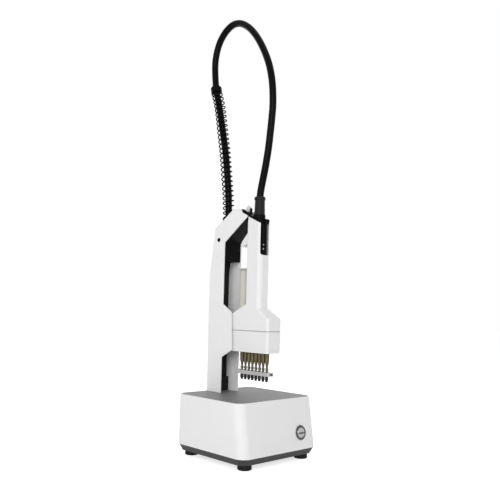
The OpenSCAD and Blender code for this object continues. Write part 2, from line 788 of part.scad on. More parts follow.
// Boss that holds the lower end of the spring and lets the cable through: the cup stands on the
// sloping roof and its stem goes down into the hood.
module spring_socket() {
    color(black) at_tower() difference() {
        union() {
            difference() {
                translate([0, socket_y, shoulder_z - 8])
                    cylinder(d = socket_d, h = socket_top - shoulder_z + 8);
                side_extrude(-tower_w, tower_w) polygon(rounded(tower_outline()));
            }
            translate([0, socket_y, socket_top - socket_l]) cylinder(d = socket_stem_d, h = socket_l - 8);
        }
        translate([0, socket_y, socket_top - socket_l + 4]) cylinder(d = cable_d + 1, h = socket_l);
        translate([0, socket_y, socket_top - 6]) cylinder(d = spring_od + 2 * move_c, h = 10);
    }
}

// Smooth curve through the cable points: t runs from 0 to the number of stretches.
function cable_at(t) =
    let (n = len(cable_path) - 1, i = min(floor(t), n - 1), u = t - i,
         p0 = cable_path[max(i - 1, 0)], p1 = cable_path[i], p2 = cable_path[i + 1],
         p3 = cable_path[min(i + 2, n)])
    0.5 * (2 * p1 + (p2 - p0) * u + (2 * p0 - 5 * p1 + 4 * p2 - p3) * u * u
           + (3 * p1 - p0 - 3 * p2 + p3) * u * u * u);
function cable_dir(t) =
    let (n = len(cable_path) - 1) unit(cable_at(min(t + 0.02, n)) - cable_at(max(t - 0.02, 0)));

// Tube around a list of rings, closed at both ends.
module tube(rings, sides) {
    n = len(rings);
    polyhedron(
        points = [for (r = rings) each r],
        faces = concat(
            [[for (j = [sides - 1:-1:0]) j]],
            [for (i = [0:n - 2], j = [0:sides - 1]) let (k = (j + 1) % sides)
                [i * sides + j, i * sides + k, (i + 1) * sides + k, (i + 1) * sides + j]],
            [[for (j = [0:sides - 1]) (n - 1) * sides + j]]));
}

module cable() {
    steps = 2 * (len(cable_path) - 1);
    color(black) at_tower() tube([for (i = [0:steps])
        let (t = i / 2, p = cable_at(t), d = cable_dir(t))
        [for (j = [0:cable_sides - 1]) let (a = 360 * j / cable_sides)
            [cable_d / 2 * cos(a), p[0] + cable_d / 2 * sin(a) * d[1], p[1] - cable_d / 2 * sin(a) * d[0]]]],
        cable_sides);
}

// Cable spring: a coil wound on the cable from the socket up to the collar. The stretches of
// the route are measured first, so that the turns are evenly spaced.
spring_t0 = 0.56;
spring_t1 = 9.0;
collar_t = 9.4;
coil_r = (spring_od - spring_wire) / 2;
samples = 160;
spring_len = [for (i = 0, s = 0; i <= samples;
    s = s + norm(cable_at(spring_t0 + (spring_t1 - spring_t0) * (i + 1) / samples)
                 - cable_at(spring_t0 + (spring_t1 - spring_t0) * i / samples)), i = i + 1) s];
function spring_t(s) =
    spring_t0 + (spring_t1 - spring_t0) * lookup(s, [for (i = [0:samples]) [spring_len[i], i / samples]]);
function coil_at(w) =
    let (t = spring_t(w * spring_len[samples]), p = cable_at(t), d = cable_dir(t), a = 360 * spring_turns * w)
    [coil_r * cos(a), p[0] + coil_r * sin(a) * d[1], p[1] - coil_r * sin(a) * d[0]];
coil_rings = 8 * spring_turns;
coil_pts = [for (i = [0:coil_rings]) coil_at(i / coil_rings)];
spring_gap = min([for (i = [0:coil_rings], j = [i + 6:1:min(i + 20, coil_rings)])
    norm(coil_pts[i] - coil_pts[j])]) - spring_wire;
echo(spring_gap = spring_gap);

function wire_ring(c, dir, out) =
    let (n = unit(out - (out * dir) * dir), b = cross(dir, n))
    [for (j = [0:5]) c + spring_wire / 2 * (cos(60 * j) * n + sin(60 * j) * b)];

module cable_spring() {
    n = coil_rings;
    function axis(i) = let (p = cable_at(spring_t(i / n * spring_len[samples]))) [0, p[0], p[1]];
    function dir(i) = unit(coil_pts[min(i + 1, n)] - coil_pts[max(i - 1, 0)]);
    color(black) at_tower() tube(concat(
        [wire_ring(coil_pts[0] - spring_wire / 4 * dir(0), dir(0), coil_pts[0] - axis(0))],
        [for (i = [0:n]) wire_ring(coil_pts[i], dir(i), coil_pts[i] - axis(i))],
        [wire_ring(coil_pts[n] + spring_wire / 4 * dir(n), dir(n), coil_pts[n] - axis(n))]), 6);
}

// Collar that clamps the top of the spring to the cable.
module spring_collar() {
    p = cable_at(collar_t);
    d = cable_dir(collar_t);
    color(black) at_tower() translate([0, p[0], p[1]]) rotate([-atan2(d[0], d[1]), 0, 0])
        translate([0, 0, -collar_h / 2]) ring(spring_od / 2, cable_d / 2 + collar_c, collar_h);
}

// Outline of the gear case and grip foot.
module head_plan(inward = 0) {
    round_rect(head_w / 2 - inward, head_front + inward, head_back - inward,
               head_r - inward, head_r - inward);
}
module each_spindle() {
    for (k = [0:spindle_n - 1]) translate([0, spindle_y(k), 0]) children();
}
module each_idler() {
    for (k = [0:spindle_n - 2]) translate([idler_x, spindle_y(k) - spindle_pitch / 2, 0]) children();
}
module each_case_screw() {
    for (x = [-case_screw_x, case_screw_x], y = [head_front + case_screw_in, head_back - case_screw_in])
        translate([x, y, 0]) children();
}
module each_rod() {
    for (y = [rod_y1, rod_y2]) translate([0, y, 0]) children();
}
module head_cavity(half_w, z0, z1) {
    translate([-half_w, cavity_front, z0]) cube([2 * half_w, cavity_back - cavity_front, z1 - z0]);
}

module gear_case() {
    color(white) at_tower() difference() {
        union() {
            translate([0, 0, head_z0]) linear_extrude(seam_z - head_z0 - seam_h) head_plan();
            translate([0, 0, head_z0]) linear_extrude(seam_z - head_z0) head_plan(groove);
        }
        head_cavity(cavity_half - bearing_ledge, case_floor_z, bearing_z + eps);
        head_cavity(cavity_half, bearing_z, seam_z + 1);
        each_spindle() translate([0, 0, head_z0 - 1]) cylinder(d = sleeve_d + 2 * fit_c, h = case_floor + 2);
        each_idler() translate([0, 0, case_floor_z - pin_bore_depth])
            cylinder(r = idler_pin_d / 2 + run_c, h = pin_bore_depth + 1);
        translate([0, 0, head_z0 + case_floor / 2]) linear_extrude(groove) difference() {
            head_plan(-1);
            head_plan(groove / 2);
        }
        each_rod() translate([0, 0, head_z0 - 1]) cylinder(r = rod_d / 2 + run_c, h = case_floor + 2);
        each_case_screw() {
            translate([0, 0, head_z0 - 1]) cylinder(d = case_screw_d + 2 * screw_c, h = seam_z);
            translate([0, 0, head_z0 - 1]) cylinder(d = case_screw_head + 2 * drop_c, h = counterbore + 1);
        }
    }
}
module case_screws() {
    color(steel) at_tower() each_case_screw() translate([0, 0, head_z0 + counterbore]) mirror([0, 0, 1])
        screw(case_screw_d, seam_z - head_z0 - counterbore + case_screw_grip,
              case_screw_head, case_screw_head_h);
}
module bearing_plate() {
    color(steel) at_tower() difference() {
        translate([-cavity_half + drop_c, cavity_front + drop_c, bearing_z])
            cube([2 * (cavity_half - drop_c), cavity_back - cavity_front - 2 * drop_c, bearing_t]);
        each_spindle() translate([0, 0, bearing_z - 1]) cylinder(r = shaft_d / 2 + run_c, h = bearing_t + 2);
        each_idler() translate([0, 0, bearing_z - 1])
            cylinder(r = idler_pin_d / 2 + run_c, h = bearing_t + 2);
    }
}
module spindle_sleeves() {
    color(brass) at_tower() each_spindle() difference() {
        union() {
            translate([0, 0, head_z0 - sleeve_drop]) cylinder(d = sleeve_d, h = sleeve_drop + case_floor);
            translate([0, 0, case_floor_z]) cylinder(d = sleeve_d + 1.4, h = flange_t);
        }
        translate([0, 0, head_z0 - sleeve_drop - 1])
            cylinder(r = shaft_d / 2 + run_c, h = sleeve_drop + case_floor + flange_t + 2);
    }
}

// Involute gear outline with a tooth centred on +X.
base_r = pitch_r * cos(gear_pressure);
root_r = pitch_r - 1.25 * gear_module;
outer_r = pitch_r + gear_module;
function involute(a) = tan(a) * 180 / PI - a;
function half_tooth(r) =
    90 / gear_teeth - gear_thin / pitch_r * 180 / PI + involute(gear_pressure) - involute(acos(base_r / r));
function polar(r, a) = [r * cos(a), r * sin(a)];
flank = [for (i = [0:3]) base_r + (outer_r - base_r) * i / 3];
function gear_points() = [for (t = [0:gear_teeth - 1]) let (c = t * tooth_angle) each concat(
    [polar(root_r, c - half_tooth(base_r))], [for (r = flank) polar(r, c - half_tooth(r))],
    [for (i = [3:-1:0]) polar(flank[i], c + half_tooth(flank[i]))], [polar(root_r, c + half_tooth(base_r))])];
module gear(phase) {
    rotate([0, 0, phase]) linear_extrude(gear_w) polygon(gear_points());
}

// Spindle k, counted from the back: driver tip, stop ring, shaft and gear in one piece. The
// rear one runs up into the motor.
module spindle(k) {
    top = k == 0 ? drive_top : bearing_z + bearing_t + 1;
    ring_z = stripper_z + stripper_t + 2.5;
    color(steel) at_tower() translate([0, spindle_y(k), 0]) {
        translate([0, 0, tip_z0]) cylinder(d = tip_d, h = tip_h, $fn = 6);
        translate([0, 0, tip_z0 + tip_h - eps]) cylinder(d = shaft_d, h = top - tip_z0 - tip_h);
        translate([0, 0, ring_z]) cylinder(d = shaft_d + 1.4, h = 4);
        translate([0, 0, gear_z]) gear(spindle_phase(k));
    }
}
module idler(k) {
    color(steel) at_tower() translate([idler_x, spindle_y(k) - spindle_pitch / 2, 0]) {
        translate([0, 0, case_floor_z - pin_bore_depth + 0.5])
            cylinder(d = idler_pin_d, h = bearing_z + bearing_t - 0.5 - case_floor_z + pin_bore_depth - 0.5);
        translate([0, 0, gear_z]) gear(idler_phase(k));
    }
}
module drive_coupling() {
    color(steel) at_tower() translate([0, row_y, coupling_z0]) ring(5, shaft_d / 2 + fit_c, coupling_h);
}

// Grip outline with an inset.
module grip_plan(inward = 0) {
    round_rect(grip_w / 2 - inward, grip_front + inward, grip_back - inward,
               max(grip_front_r - inward, 1), max(grip_back_r - inward, 0.6));
}
// Half-space above the sloping top plane of the grip.
module above_slope() {
    translate([0, grip_back, grip_top]) rotate([top_slope, 0, 0])
        translate([-big / 2, -big / 2, 0]) cube([big, big, big]);
}
module on_slope() {
    translate([0, grip_back, grip_top]) rotate([top_slope, 0, 0]) children();
}
module shoulder_post(x, y, r, z) {
    for (s = [-1, 1]) translate([s * x, y, seam_z]) cylinder(r = r, h = z - seam_z, $fn = 48);
}

switch_back = trigger_back + trigger_swing + switch_d;
module grip_shell() {
    color(white) at_tower() difference() {
        union() {
            hull() {
                shoulder_post(head_w / 2 - head_r, head_front + head_r, head_r, shoulder_front_z);
                shoulder_post(head_w / 2 - head_r, head_back - head_r, head_r, shoulder_back_z);
                shoulder_post(grip_w / 2 - grip_front_r, grip_front + grip_front_r, grip_front_r,
                              shoulder_front_z + shoulder_rise);
                shoulder_post(grip_w / 2 - grip_back_r, grip_back - grip_back_r, grip_back_r,
                              shoulder_back_z + shoulder_rise);
            }
            translate([0, 0, seam_z + 10]) linear_extrude(grip_top - seam_z + 10) grip_plan();
        }
        above_slope();
        head_cavity(cavity_half, seam_z - 1, cavity_roof);
        difference() {
            translate([0, 0, cavity_roof - 1]) linear_extrude(big) grip_plan(grip_wall);
            translate([-grip_w / 2, switch_back, trigger_z0 - 4]) cube([grip_w, 2, switch_rib_h]);
        }
        translate([0, row_y, cavity_roof - 1]) cylinder(r = motor_d / 2 + drop_c, h = big);
        translate([0, trigger_back + trigger_swing + move_c, 0]) rotate([90, 0, 0])
            linear_extrude(trigger_back + trigger_swing + move_c - grip_front + 1)
                round_rect(trigger_w / 2 + move_c, trigger_z0 - trigger_gap, trigger_z0 + big,
                           trigger_corner_r + move_c, 1);
        each_case_screw() translate([0, 0, seam_z - 1])
            cylinder(d = case_screw_d + 2 * fit_c, h = case_screw_grip + 2);
    }
}

// Black cap on the sloping top: hanging tongue, upright fin, gland seat and trigger ears.
module top_cap() {
    len_front = (grip_d + 2) / cos(top_slope);
    len_back = (tongue_end - grip_back) / cos(top_slope);
    ear_x = knuckle_l / 2 + move_c;
    knob_l = (knob_y - grip_back) / cos(top_slope);
    spigot_r = min(grip_in - drop_c, gland_y - trigger_back - 1.6);
    color(black) at_tower() difference() {
        union() {
            intersection() {
                on_slope() translate([-grip_w / 2, -len_front, 0]) cube([grip_w, len_front, cap_t]);
                linear_extrude(big * 1.2) grip_plan();
            }
            on_slope() linear_extrude(cap_t) round_rect(tongue_w / 2, -10, len_back, 1, 3);
            translate([-fin_x - fin_w / 2, fin_y - fin_t / 2, cap_under(fin_y - fin_t / 2) + 1])
                cube([fin_w, fin_t, fin_h + cap_t - 1]);
            difference() {
                translate([0, gland_y, cap_under(gland_y - 12)])
                    cylinder(d = gland_collar_d + 1, h = gland_z0 - eps - cap_under(gland_y - 12));
                difference() {
                    translate([-big / 2, -big / 2, 0]) cube([big, big, big * 1.2]);
                    above_slope();
                }
            }
            translate([0, gland_y, gland_z0 - spigot_l - 6]) cylinder(r = spigot_r, h = spigot_l);
            for (s = [-1, 1]) translate([s * (ear_x + ear_t / 2), knuckle_y, knuckle_z]) rotate([0, 90, 0])
                cylinder(d = knuckle_d, h = ear_t, center = true);
            for (s = [-1, 1]) hull() {
                translate([s * (ear_x + ear_t / 2), knuckle_y, knuckle_z]) rotate([0, 90, 0])
                    cylinder(d = knuckle_d - 1, h = ear_t, center = true);
                translate([s * (ear_x + ear_t / 2), grip_front + 4, cap_under(grip_front + 4) + cap_t * 0.75])
                    cube([ear_t, 6, 2], center = true);
            }
        }
        translate([0, gland_y, gland_z0 - gland_shank])
            cylinder(d = cable_d + 2 * (gland_wall + drop_c), h = gland_shank + gland_h);
        on_slope() translate([0, knob_l, -1]) cylinder(r = 2 + run_c, h = cap_t + 2);
        translate([0, knuckle_y, knuckle_z]) rotate([0, 90, 0]) {
            cylinder(d = trigger_pin_d + 2 * fit_c, h = grip_w + 2, center = true);
            cylinder(d = knuckle_d + 2 * move_c + 1, h = 2 * ear_x, center = true);
        }
        translate([-ear_x, grip_front - 12, trigger_z0])
            cube([2 * ear_x, trigger_back + 1 - grip_front + 12, grip_top - trigger_z0]);
    }
}
module finger_rest() {
    tip = grip_back + rest_l;
    low = rest_z - rest_h;
    color(white) at_tower() side_extrude(-rest_w / 2, rest_w / 2) polygon(rounded([
        [grip_back, rest_z, 0], [tip, rest_z - rest_fall, 3], [tip, low + 3, 2], [tip - 4.5, low + 3, 2],
        [tip - 6, low + 7, 4], [grip_back + 6, low + 7, 5], [grip_back, low, 0]]));
}
module cable_gland() {
    top = gland_z0 + gland_h;
    color(black) at_tower() translate([0, gland_y, 0]) rotate_extrude() polygon([
        [cable_d / 2 + 0.25, gland_z0 - gland_shank], [cable_d / 2 + gland_wall, gland_z0 - gland_shank],
        [cable_d / 2 + gland_wall, gland_z0],
        [gland_d / 2, gland_z0], [gland_d / 2 - 0.8, top - gland_collar_h],
        [gland_collar_d / 2 - 0.5, top - gland_collar_h],
        [gland_collar_d / 2, top - gland_collar_h + 0.6], [gland_collar_d / 2, top - 1.5],
        [gland_collar_d / 2 - 1.5, top], [cable_d / 2 + 0.25, top]]);
}
module gland_nut() {
    color(black) at_tower() translate([0, gland_y, gland_z0 - gland_shank]) difference() {
        cylinder(r = grip_in - 0.6, h = 4, $fn = 6);
        translate([0, 0, -1]) cylinder(r = cable_d / 2 + gland_wall + fit_c, h = 6);
    }
}

// Lever in the front of the grip, round across its front, with a lug that reaches up through the
// cap to the knuckle.
module trigger() {
    color(black) at_tower() difference() {
        union() {
            intersection() {
                side_extrude(-trigger_w / 2, trigger_w / 2) polygon(rounded([
                    [trigger_front, trigger_z0, 2],
                    [trigger_front, cap_under(trigger_front) - trigger_gap, 0],
                    [trigger_back, cap_under(trigger_back) - trigger_gap, 0],
                    [trigger_back, trigger_z0, 2.5]]));
                translate([0, trigger_front + trigger_front_r, trigger_z0 - 1])
                    cylinder(r = trigger_front_r, h = trigger_drop);
                rotate([90, 0, 0]) linear_extrude(big / 2)
                    round_rect(trigger_w / 2, trigger_z0, trigger_z0 + 2 * trigger_drop, trigger_corner_r, 1);
            }
            side_extrude(-knuckle_l / 2, knuckle_l / 2) polygon([
                [trigger_front, knuckle_z - 2 * knuckle_d], [trigger_front, knuckle_z - 5],
                [knuckle_y - 3, knuckle_z - 1], [knuckle_y + 3, knuckle_z + 1],
                [trigger_back, knuckle_z - 5], [trigger_back, knuckle_z - 2 * knuckle_d]]);
            translate([0, knuckle_y, knuckle_z]) rotate([0, 90, 0])
                cylinder(d = knuckle_d, h = knuckle_l, center = true);
        }
        translate([0, knuckle_y, knuckle_z]) rotate([0, 90, 0])
            cylinder(r = trigger_pin_d / 2 + run_c, h = knuckle_l + 2, center = true);
    }
}
module trigger_pin() {
    color(steel) at_tower() translate([0, knuckle_y, knuckle_z]) rotate([0, 90, 0])
        cylinder(d = trigger_pin_d, h = knuckle_l + 2 * move_c + 2 * ear_t, center = true);
}
module trigger_switch() {
    color(dark_grey) at_tower() translate([-switch_w / 2, switch_back - switch_d, trigger_z0 + 4])
        cube([switch_w, switch_d, switch_h]);
}
module torque_knob() {
    knob_l = (knob_y - grip_back) / cos(top_slope);
    color(light_grey) at_tower() on_slope() translate([0, knob_l, 0]) {
        translate([0, 0, 0.3]) cylinder(r = 2, h = cap_t + 1);
        translate([0, 0, cap_t + move_c]) difference() {
            rotate_extrude() polygon([[0, 0], [knob_d / 2, 0], [knob_d / 2, knob_h - 1],
                                      [knob_d / 2 - 1, knob_h], [0, knob_h]]);
            for (a = [0:30:330]) rotate([0, 0, a]) translate([knob_d / 2 + 0.3, 0, 1.2])
                cylinder(r = 0.7, h = knob_h, $fn = 16);
            translate([0, -0.4, knob_h - 0.6]) cube([knob_d, 0.8, 2]);
        }
    }
}
module motor() {
    color(steel) at_tower() translate([0, row_y, 0]) difference() {
        union() {
            translate([0, 0, motor_z0]) cylinder(d = motor_d, h = motor_top - motor_z0);
            translate([0, 0, motor_z0]) cylinder(d = motor_flange_d, h = cavity_roof - motor_z0);
        }
        translate([0, 0, motor_z0 - 1]) cylinder(r = shaft_d / 2 + run_c, h = motor_bore_depth + 1);
        for (z = [motor_z0 + motor_groove_low, motor_top - motor_groove_high])
            translate([0, 0, z]) ring(motor_d, motor_d / 2 - 0.4, 0.8);
    }
}
module motor_cap() {
    color(dark_grey) at_tower() translate([0, row_y, motor_top]) rotate_extrude()
        polygon([[0, 0], [motor_d / 2, 0], [motor_d / 2, motor_cap_h - 2],
                 [motor_d / 2 - 2, motor_cap_h], [0, motor_cap_h]]);
}

module stripper_bar() {
    color(light_grey) at_tower() difference() {
        translate([0, 0, stripper_z]) linear_extrude(stripper_t)
            round_rect(stripper_w / 2, stripper_front, stripper_back, 2.5, 2.5);
        each_spindle() cylinder(d = stripper_hole_d, h = big);
        each_rod() translate([0, 0, stripper_z + 1]) cylinder(r = rod_d / 2 + fit_c, h = big);
        translate([0, stripper_front - 1, stripper_z + stripper_t / 2]) rotate([-90, 0, 0])
            cylinder(r = 1 + fit_c, h = 2.4);
    }
}
module guide_rods() {
    color(steel) at_tower() each_rod() {
        translate([0, 0, stripper_z + 1]) cylinder(d = rod_d, h = clip_z + clip_t - stripper_z - 1);
        translate([0, 0, clip_z]) cylinder(d = clip_d, h = clip_t);
    }
}
module stripper_pin() {
    color(dark_grey) at_tower() translate([0, stripper_front, stripper_z + stripper_t / 2])
        rotate([90, 0, 0]) {
        rotate_extrude() polygon([[0, 0], [pin_head_d / 2, 0], [pin_head_d / 2, pin_head_l - 0.7],
                                  [pin_head_d / 2 - 0.7, pin_head_l], [0, pin_head_l]]);
        translate([0, 0, -1]) cylinder(r = 1, h = 2);
    }
}

base_housing();
top_plate();
bottom_tray();
rubber_feet();
foot_screws();
control_board();
board_standoffs();
power_supply();
dc_inlet();
button_bezel();
button_nut();
power_button();
tower_shell();
tower_liner();
neck_hood();
foot_block();
cheek_screws();
tower_bolts();
spring_socket();
cable_spring();
spring_collar();
cable();
gear_case();
grip_shell();
top_cap();
finger_rest();
cable_gland();
gland_nut();
trigger();
trigger_pin();
trigger_switch();
torque_knob();
motor();
motor_cap();
drive_coupling();
bearing_plate();
spindle_sleeves();
case_screws();
spindle(0);  // spindle_1
spindle(1);  // spindle_2
spindle(2);  // spindle_3
spindle(3);  // spindle_4
spindle(4);  // spindle_5
spindle(5);  // spindle_6
spindle(6);  // spindle_7
spindle(7);  // spindle_8
idler(0);  // idler_1
idler(1);  // idler_2
idler(2);  // idler_3
idler(3);  // idler_4
idler(4);  // idler_5
idler(5);  // idler_6
idler(6);  // idler_7
stripper_bar();
guide_rods();
stripper_pin();
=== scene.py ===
"""Studio scene of a tube recapper: a motor-driven handpiece hanging in its holster stand.

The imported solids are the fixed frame. Each sub-assembly is a class that dresses its nodes with
softened edges and a finish, and adds the fine pieces that the solids leave out. Lengths are metres,
apart from edge widths and values whose name ends in mm. Z is up and the front is -Y.
"""

from __future__ import annotations

import logging
import math
from dataclasses import dataclass, field
from enum import Enum
from functools import cache

import bmesh
import bpy
from mathutils import Matrix, Vector
from mathutils.bvhtree import BVHTree

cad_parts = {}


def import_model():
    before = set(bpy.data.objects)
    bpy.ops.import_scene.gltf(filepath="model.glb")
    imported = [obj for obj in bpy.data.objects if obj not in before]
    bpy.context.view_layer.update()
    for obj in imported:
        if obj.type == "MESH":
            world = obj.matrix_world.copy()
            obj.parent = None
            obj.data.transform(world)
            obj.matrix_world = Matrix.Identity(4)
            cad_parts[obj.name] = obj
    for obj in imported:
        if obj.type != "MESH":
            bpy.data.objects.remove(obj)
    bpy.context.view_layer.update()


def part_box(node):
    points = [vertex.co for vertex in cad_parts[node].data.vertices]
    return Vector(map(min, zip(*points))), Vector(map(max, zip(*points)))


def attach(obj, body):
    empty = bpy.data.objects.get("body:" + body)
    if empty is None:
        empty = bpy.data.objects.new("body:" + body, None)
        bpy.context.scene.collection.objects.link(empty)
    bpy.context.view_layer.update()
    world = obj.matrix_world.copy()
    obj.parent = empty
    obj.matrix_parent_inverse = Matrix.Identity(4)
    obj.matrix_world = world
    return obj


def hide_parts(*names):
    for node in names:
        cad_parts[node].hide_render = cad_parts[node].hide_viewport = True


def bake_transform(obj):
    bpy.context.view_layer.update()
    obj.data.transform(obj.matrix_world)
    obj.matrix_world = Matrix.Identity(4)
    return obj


LOG = logging.getLogger("tube_recapper")
MM = 0.001
SHARP_ANGLE = math.radians(35)
FLAT_ANGLE = math.radians(0.4)
WELD_DISTANCE = 0.002 * MM
TOUCH_DISTANCE = 0.01 * MM
EDGE_FACETS = 2
CORNER_FACETS = 8
WIRE_FACETS = 10
FULL_TURN = 2 * math.pi
NOISE_MIDDLE = (0.3, 0.7)
NOISE_ROUGHNESS = 0.55
SLOW_OCTAVES = 3.0
FINE_OCTAVES = 4.0
SPINDLES = 8

Colour = tuple[float, float, float]
Point = tuple[float, float, float]
Profile = list[tuple[float, float]]


class Body(Enum):
    """Bodies of the frame that pieces ride on."""

    STAND = "stand"
    POWER_BUTTON = "power_button"
    HANDPIECE = "handpiece"
    TRIGGER = "trigger"
    KNOB = "torque_knob"
    STRIPPER = "stripper"


class Grain(Enum):
    """How the fine relief of a finish runs: the share of its frequency along X, Y and Z."""

    EVEN = (1.0, 1.0, 1.0)
    BRUSHED = (0.04, 1.0, 1.0)
    TURNED = (0.03, 0.03, 1.0)
    DRAWN = (1.0, 1.0, 0.05)


class Shader:
    """Short-hand for building the node tree of one material."""

    def __init__(self, name: str) -> None:
        """Start an empty material with an output and a Principled shader.

        Args:
            name: Name of the material.
        """
        self.material = bpy.data.materials.new(name)
        self.material.use_nodes = True
        self.tree = self.material.node_tree
        self.tree.nodes.clear()
        self.output = self.tree.nodes.new("ShaderNodeOutputMaterial")
        self.surface = self.add("ShaderNodeBsdfPrincipled")
        self.link(self.surface.outputs["BSDF"], self.output.inputs["Surface"])

    def add(self, kind: str, **inputs: object) -> bpy.types.Node:
        """Add a node and set its unlinked inputs.

        Args:
            kind: Blender's name of the node type.
            **inputs: Values by input name, with underscores for spaces.

        Returns:
            The new node.
        """
        node = self.tree.nodes.new(kind)
        for key, value in inputs.items():
            node.inputs[key.replace("_", " ")].default_value = value
        return node

    def link(self, source: bpy.types.NodeSocket, target: bpy.types.NodeSocket) -> None:
        """Link two sockets."""
        self.tree.links.new(source, target)

    def noise(self, size: float, grain: Grain, detail: float) -> bpy.types.NodeSocket:
        """Add a noise in object coordinates.

        Args:
            size: Size of its features in metres.
            grain: How the noise is stretched.
            detail: Octaves of finer noise.

        Returns:
            The noise value, from 0 to 1.
        """
        place = self.add("ShaderNodeTexCoord")
        mapping = self.add("ShaderNodeMapping", Scale=grain.value)
        noise = self.add("ShaderNodeTexNoise", Scale=1.0 / size, Detail=detail,
                         Roughness=NOISE_ROUGHNESS)
        self.link(place.outputs["Object"], mapping.inputs["Vector"])
        self.link(mapping.outputs["Vector"], noise.inputs["Vector"])
        return noise.outputs["Fac"]

    def spread(self, value: bpy.types.NodeSocket, low: float, high: float) -> bpy.types.NodeSocket:
        """Map the middle of a noise to a range.

        Args:
            value: Noise socket.
            low: Value at the low side of the noise.
            high: Value at its high side.

        Returns:
            The mapped value.
        """
        node = self.add("ShaderNodeMapRange", From_Min=NOISE_MIDDLE[0], From_Max=NOISE_MIDDLE[1],
                        To_Min=low, To_Max=high)
        self.link(value, node.inputs["Value"])
        return node.outputs["Result"]

    def ramp(self, value: bpy.types.NodeSocket, low: Colour, high: Colour) -> bpy.types.NodeSocket:
        """Map the middle of a noise to a pair of colours.

        Args:
            value: Noise socket.
            low: Colour at the low side of the noise.
            high: Colour at its high side.

        Returns:
            The mapped colour.
        """
        node = self.add("ShaderNodeValToRGB")
        for element, place, colour in zip(node.color_ramp.elements, NOISE_MIDDLE, (low, high)):
            element.position = place
            element.color = (*colour, 1.0)
        self.link(value, node.inputs["Fac"])
        return node.outputs["Color"]


@dataclass(frozen=True)
class Finish:
    """A surface finish: base colour, gloss, fine relief and slow drift of colour and gloss."""

    name: str
    slot: str
    colour: Colour
    roughness: float
    metallic: float = 0.0
    grain: Grain = Grain.EVEN
    grain_mm: float = 0.8
    relief_mm: float = 0.01
    drift_mm: float = 45.0
    colour_drift: float = 0.04
    gloss_drift: float = 0.06
    specular: float = 0.5

    def material(self) -> bpy.types.Material:
        """Return the material of this finish, built once."""
        return bpy.data.materials.get(self.label) or self.build()

    @property
    def label(self) -> str:
        """Name of the material, apart from the plain materials of the frame."""
        return f"{self.name}_finish"

    def build(self) -> bpy.types.Material:
        """Build the node tree of the finish.

        Returns:
            The new material.
        """
        s = Shader(self.label)
        s.surface.inputs["Metallic"].default_value = self.metallic
        s.surface.inputs["Specular IOR Level"].default_value = self.specular
        slow = s.noise(self.drift_mm * MM, Grain.EVEN, SLOW_OCTAVES)
        fine = s.noise(self.grain_mm * MM, self.grain, FINE_OCTAVES)
        low = tuple(c * (1.0 - self.colour_drift) for c in self.colour)
        s.link(s.ramp(slow, low, self.colour), s.surface.inputs["Base Color"])
        both = s.add("ShaderNodeMath")
        both.operation = "ADD"
        half = s.add("ShaderNodeMath")
        half.operation = "MULTIPLY"
        half.inputs[1].default_value = 0.5
        s.link(slow, both.inputs[0])
        s.link(fine, both.inputs[1])
        s.link(both.outputs[0], half.inputs[0])
        gloss = s.spread(half.outputs[0], self.roughness - self.gloss_drift,
                         self.roughness + self.gloss_drift)
        s.link(gloss, s.surface.inputs["Roughness"])
        bump = s.add("ShaderNodeBump", Strength=1.0, Distance=self.relief_mm * MM)
        s.link(fine, bump.inputs["Height"])
        s.link(bump.outputs["Normal"], s.surface.inputs["Normal"])
        return s.material


WHITE_PAINT = Finish("white_paint", "white_shell", (0.84, 0.84, 0.84), 0.5, grain_mm=1.6, relief_mm=0.012,
                     colour_drift=0.015, specular=0.16)
WHITE_PLASTIC = Finish("white_plastic", "white_plastic", (0.83, 0.83, 0.827), 0.5, grain_mm=0.7,
                       relief_mm=0.008, colour_drift=0.02, specular=0.14)
SEAM_GREY = Finish("seam_grey", "dark_grey", (0.42, 0.42, 0.42), 0.6, grain_mm=0.5, specular=0.2)
PLATE_GREY = Finish("plate_grey", "top_grey", (0.158, 0.158, 0.16), 0.45, grain_mm=0.5, relief_mm=0.012)
# Grey of the band across the power button disc: a painted reflection, not a part of the button.
PAINTED_REFLECTION_GREY = Finish("band_grey", "dark_grey", (0.10, 0.10, 0.09), 0.4, grain_mm=0.5, specular=0.3)
TRAY_GREY = Finish("tray_grey", "dark_grey", (0.034, 0.034, 0.035), 0.55, relief_mm=0.02, specular=0.3)
FOOT_RUBBER = Finish("foot_rubber", "rubber_black", (0.010, 0.010, 0.010), 0.7, grain_mm=0.5, relief_mm=0.03,
                     specular=0.15)
BLACK_PLASTIC = Finish("black_plastic", "black_plastic", (0.0045, 0.0045, 0.0046), 0.4, grain_mm=0.5,
                       relief_mm=0.012, gloss_drift=0.08, specular=0.035)
LINER_BLACK = Finish("liner_black", "black_plastic", (0.014, 0.0135, 0.0125), 0.5, grain_mm=0.5,
                     relief_mm=0.015, specular=0.1)
TRIGGER_BLACK = Finish("trigger_black", "black_plastic", (0.003, 0.003, 0.0031), 0.16, grain_mm=0.6,
                       relief_mm=0.004, gloss_drift=0.03, specular=0.045)
GLAND_RUBBER = Finish("gland_rubber", "black_plastic", (0.011, 0.011, 0.011), 0.5, grain_mm=0.5,
                      relief_mm=0.02, specular=0.12)
CABLE_JACKET = Finish("cable_jacket", "cable_black", (0.003, 0.003, 0.003), 0.22, grain=Grain.DRAWN,
                      grain_mm=1.2, relief_mm=0.01, specular=0.05)
COIL_WIRE = Finish("coil_wire", "black_wire", (0.004, 0.004, 0.004), 0.32, grain_mm=0.6, relief_mm=0.01,
                   specular=0.04)
TURNED_STEEL = Finish("turned_steel", "steel", (0.34, 0.33, 0.32), 0.3, metallic=1.0, grain=Grain.TURNED,
                      grain_mm=0.35, relief_mm=0.006, gloss_drift=0.1)
SHAFT_STEEL = Finish("shaft_steel", "steel", (0.10, 0.088, 0.07), 0.3, metallic=1.0, grain=Grain.TURNED,
                     grain_mm=0.35, relief_mm=0.006, gloss_drift=0.1)
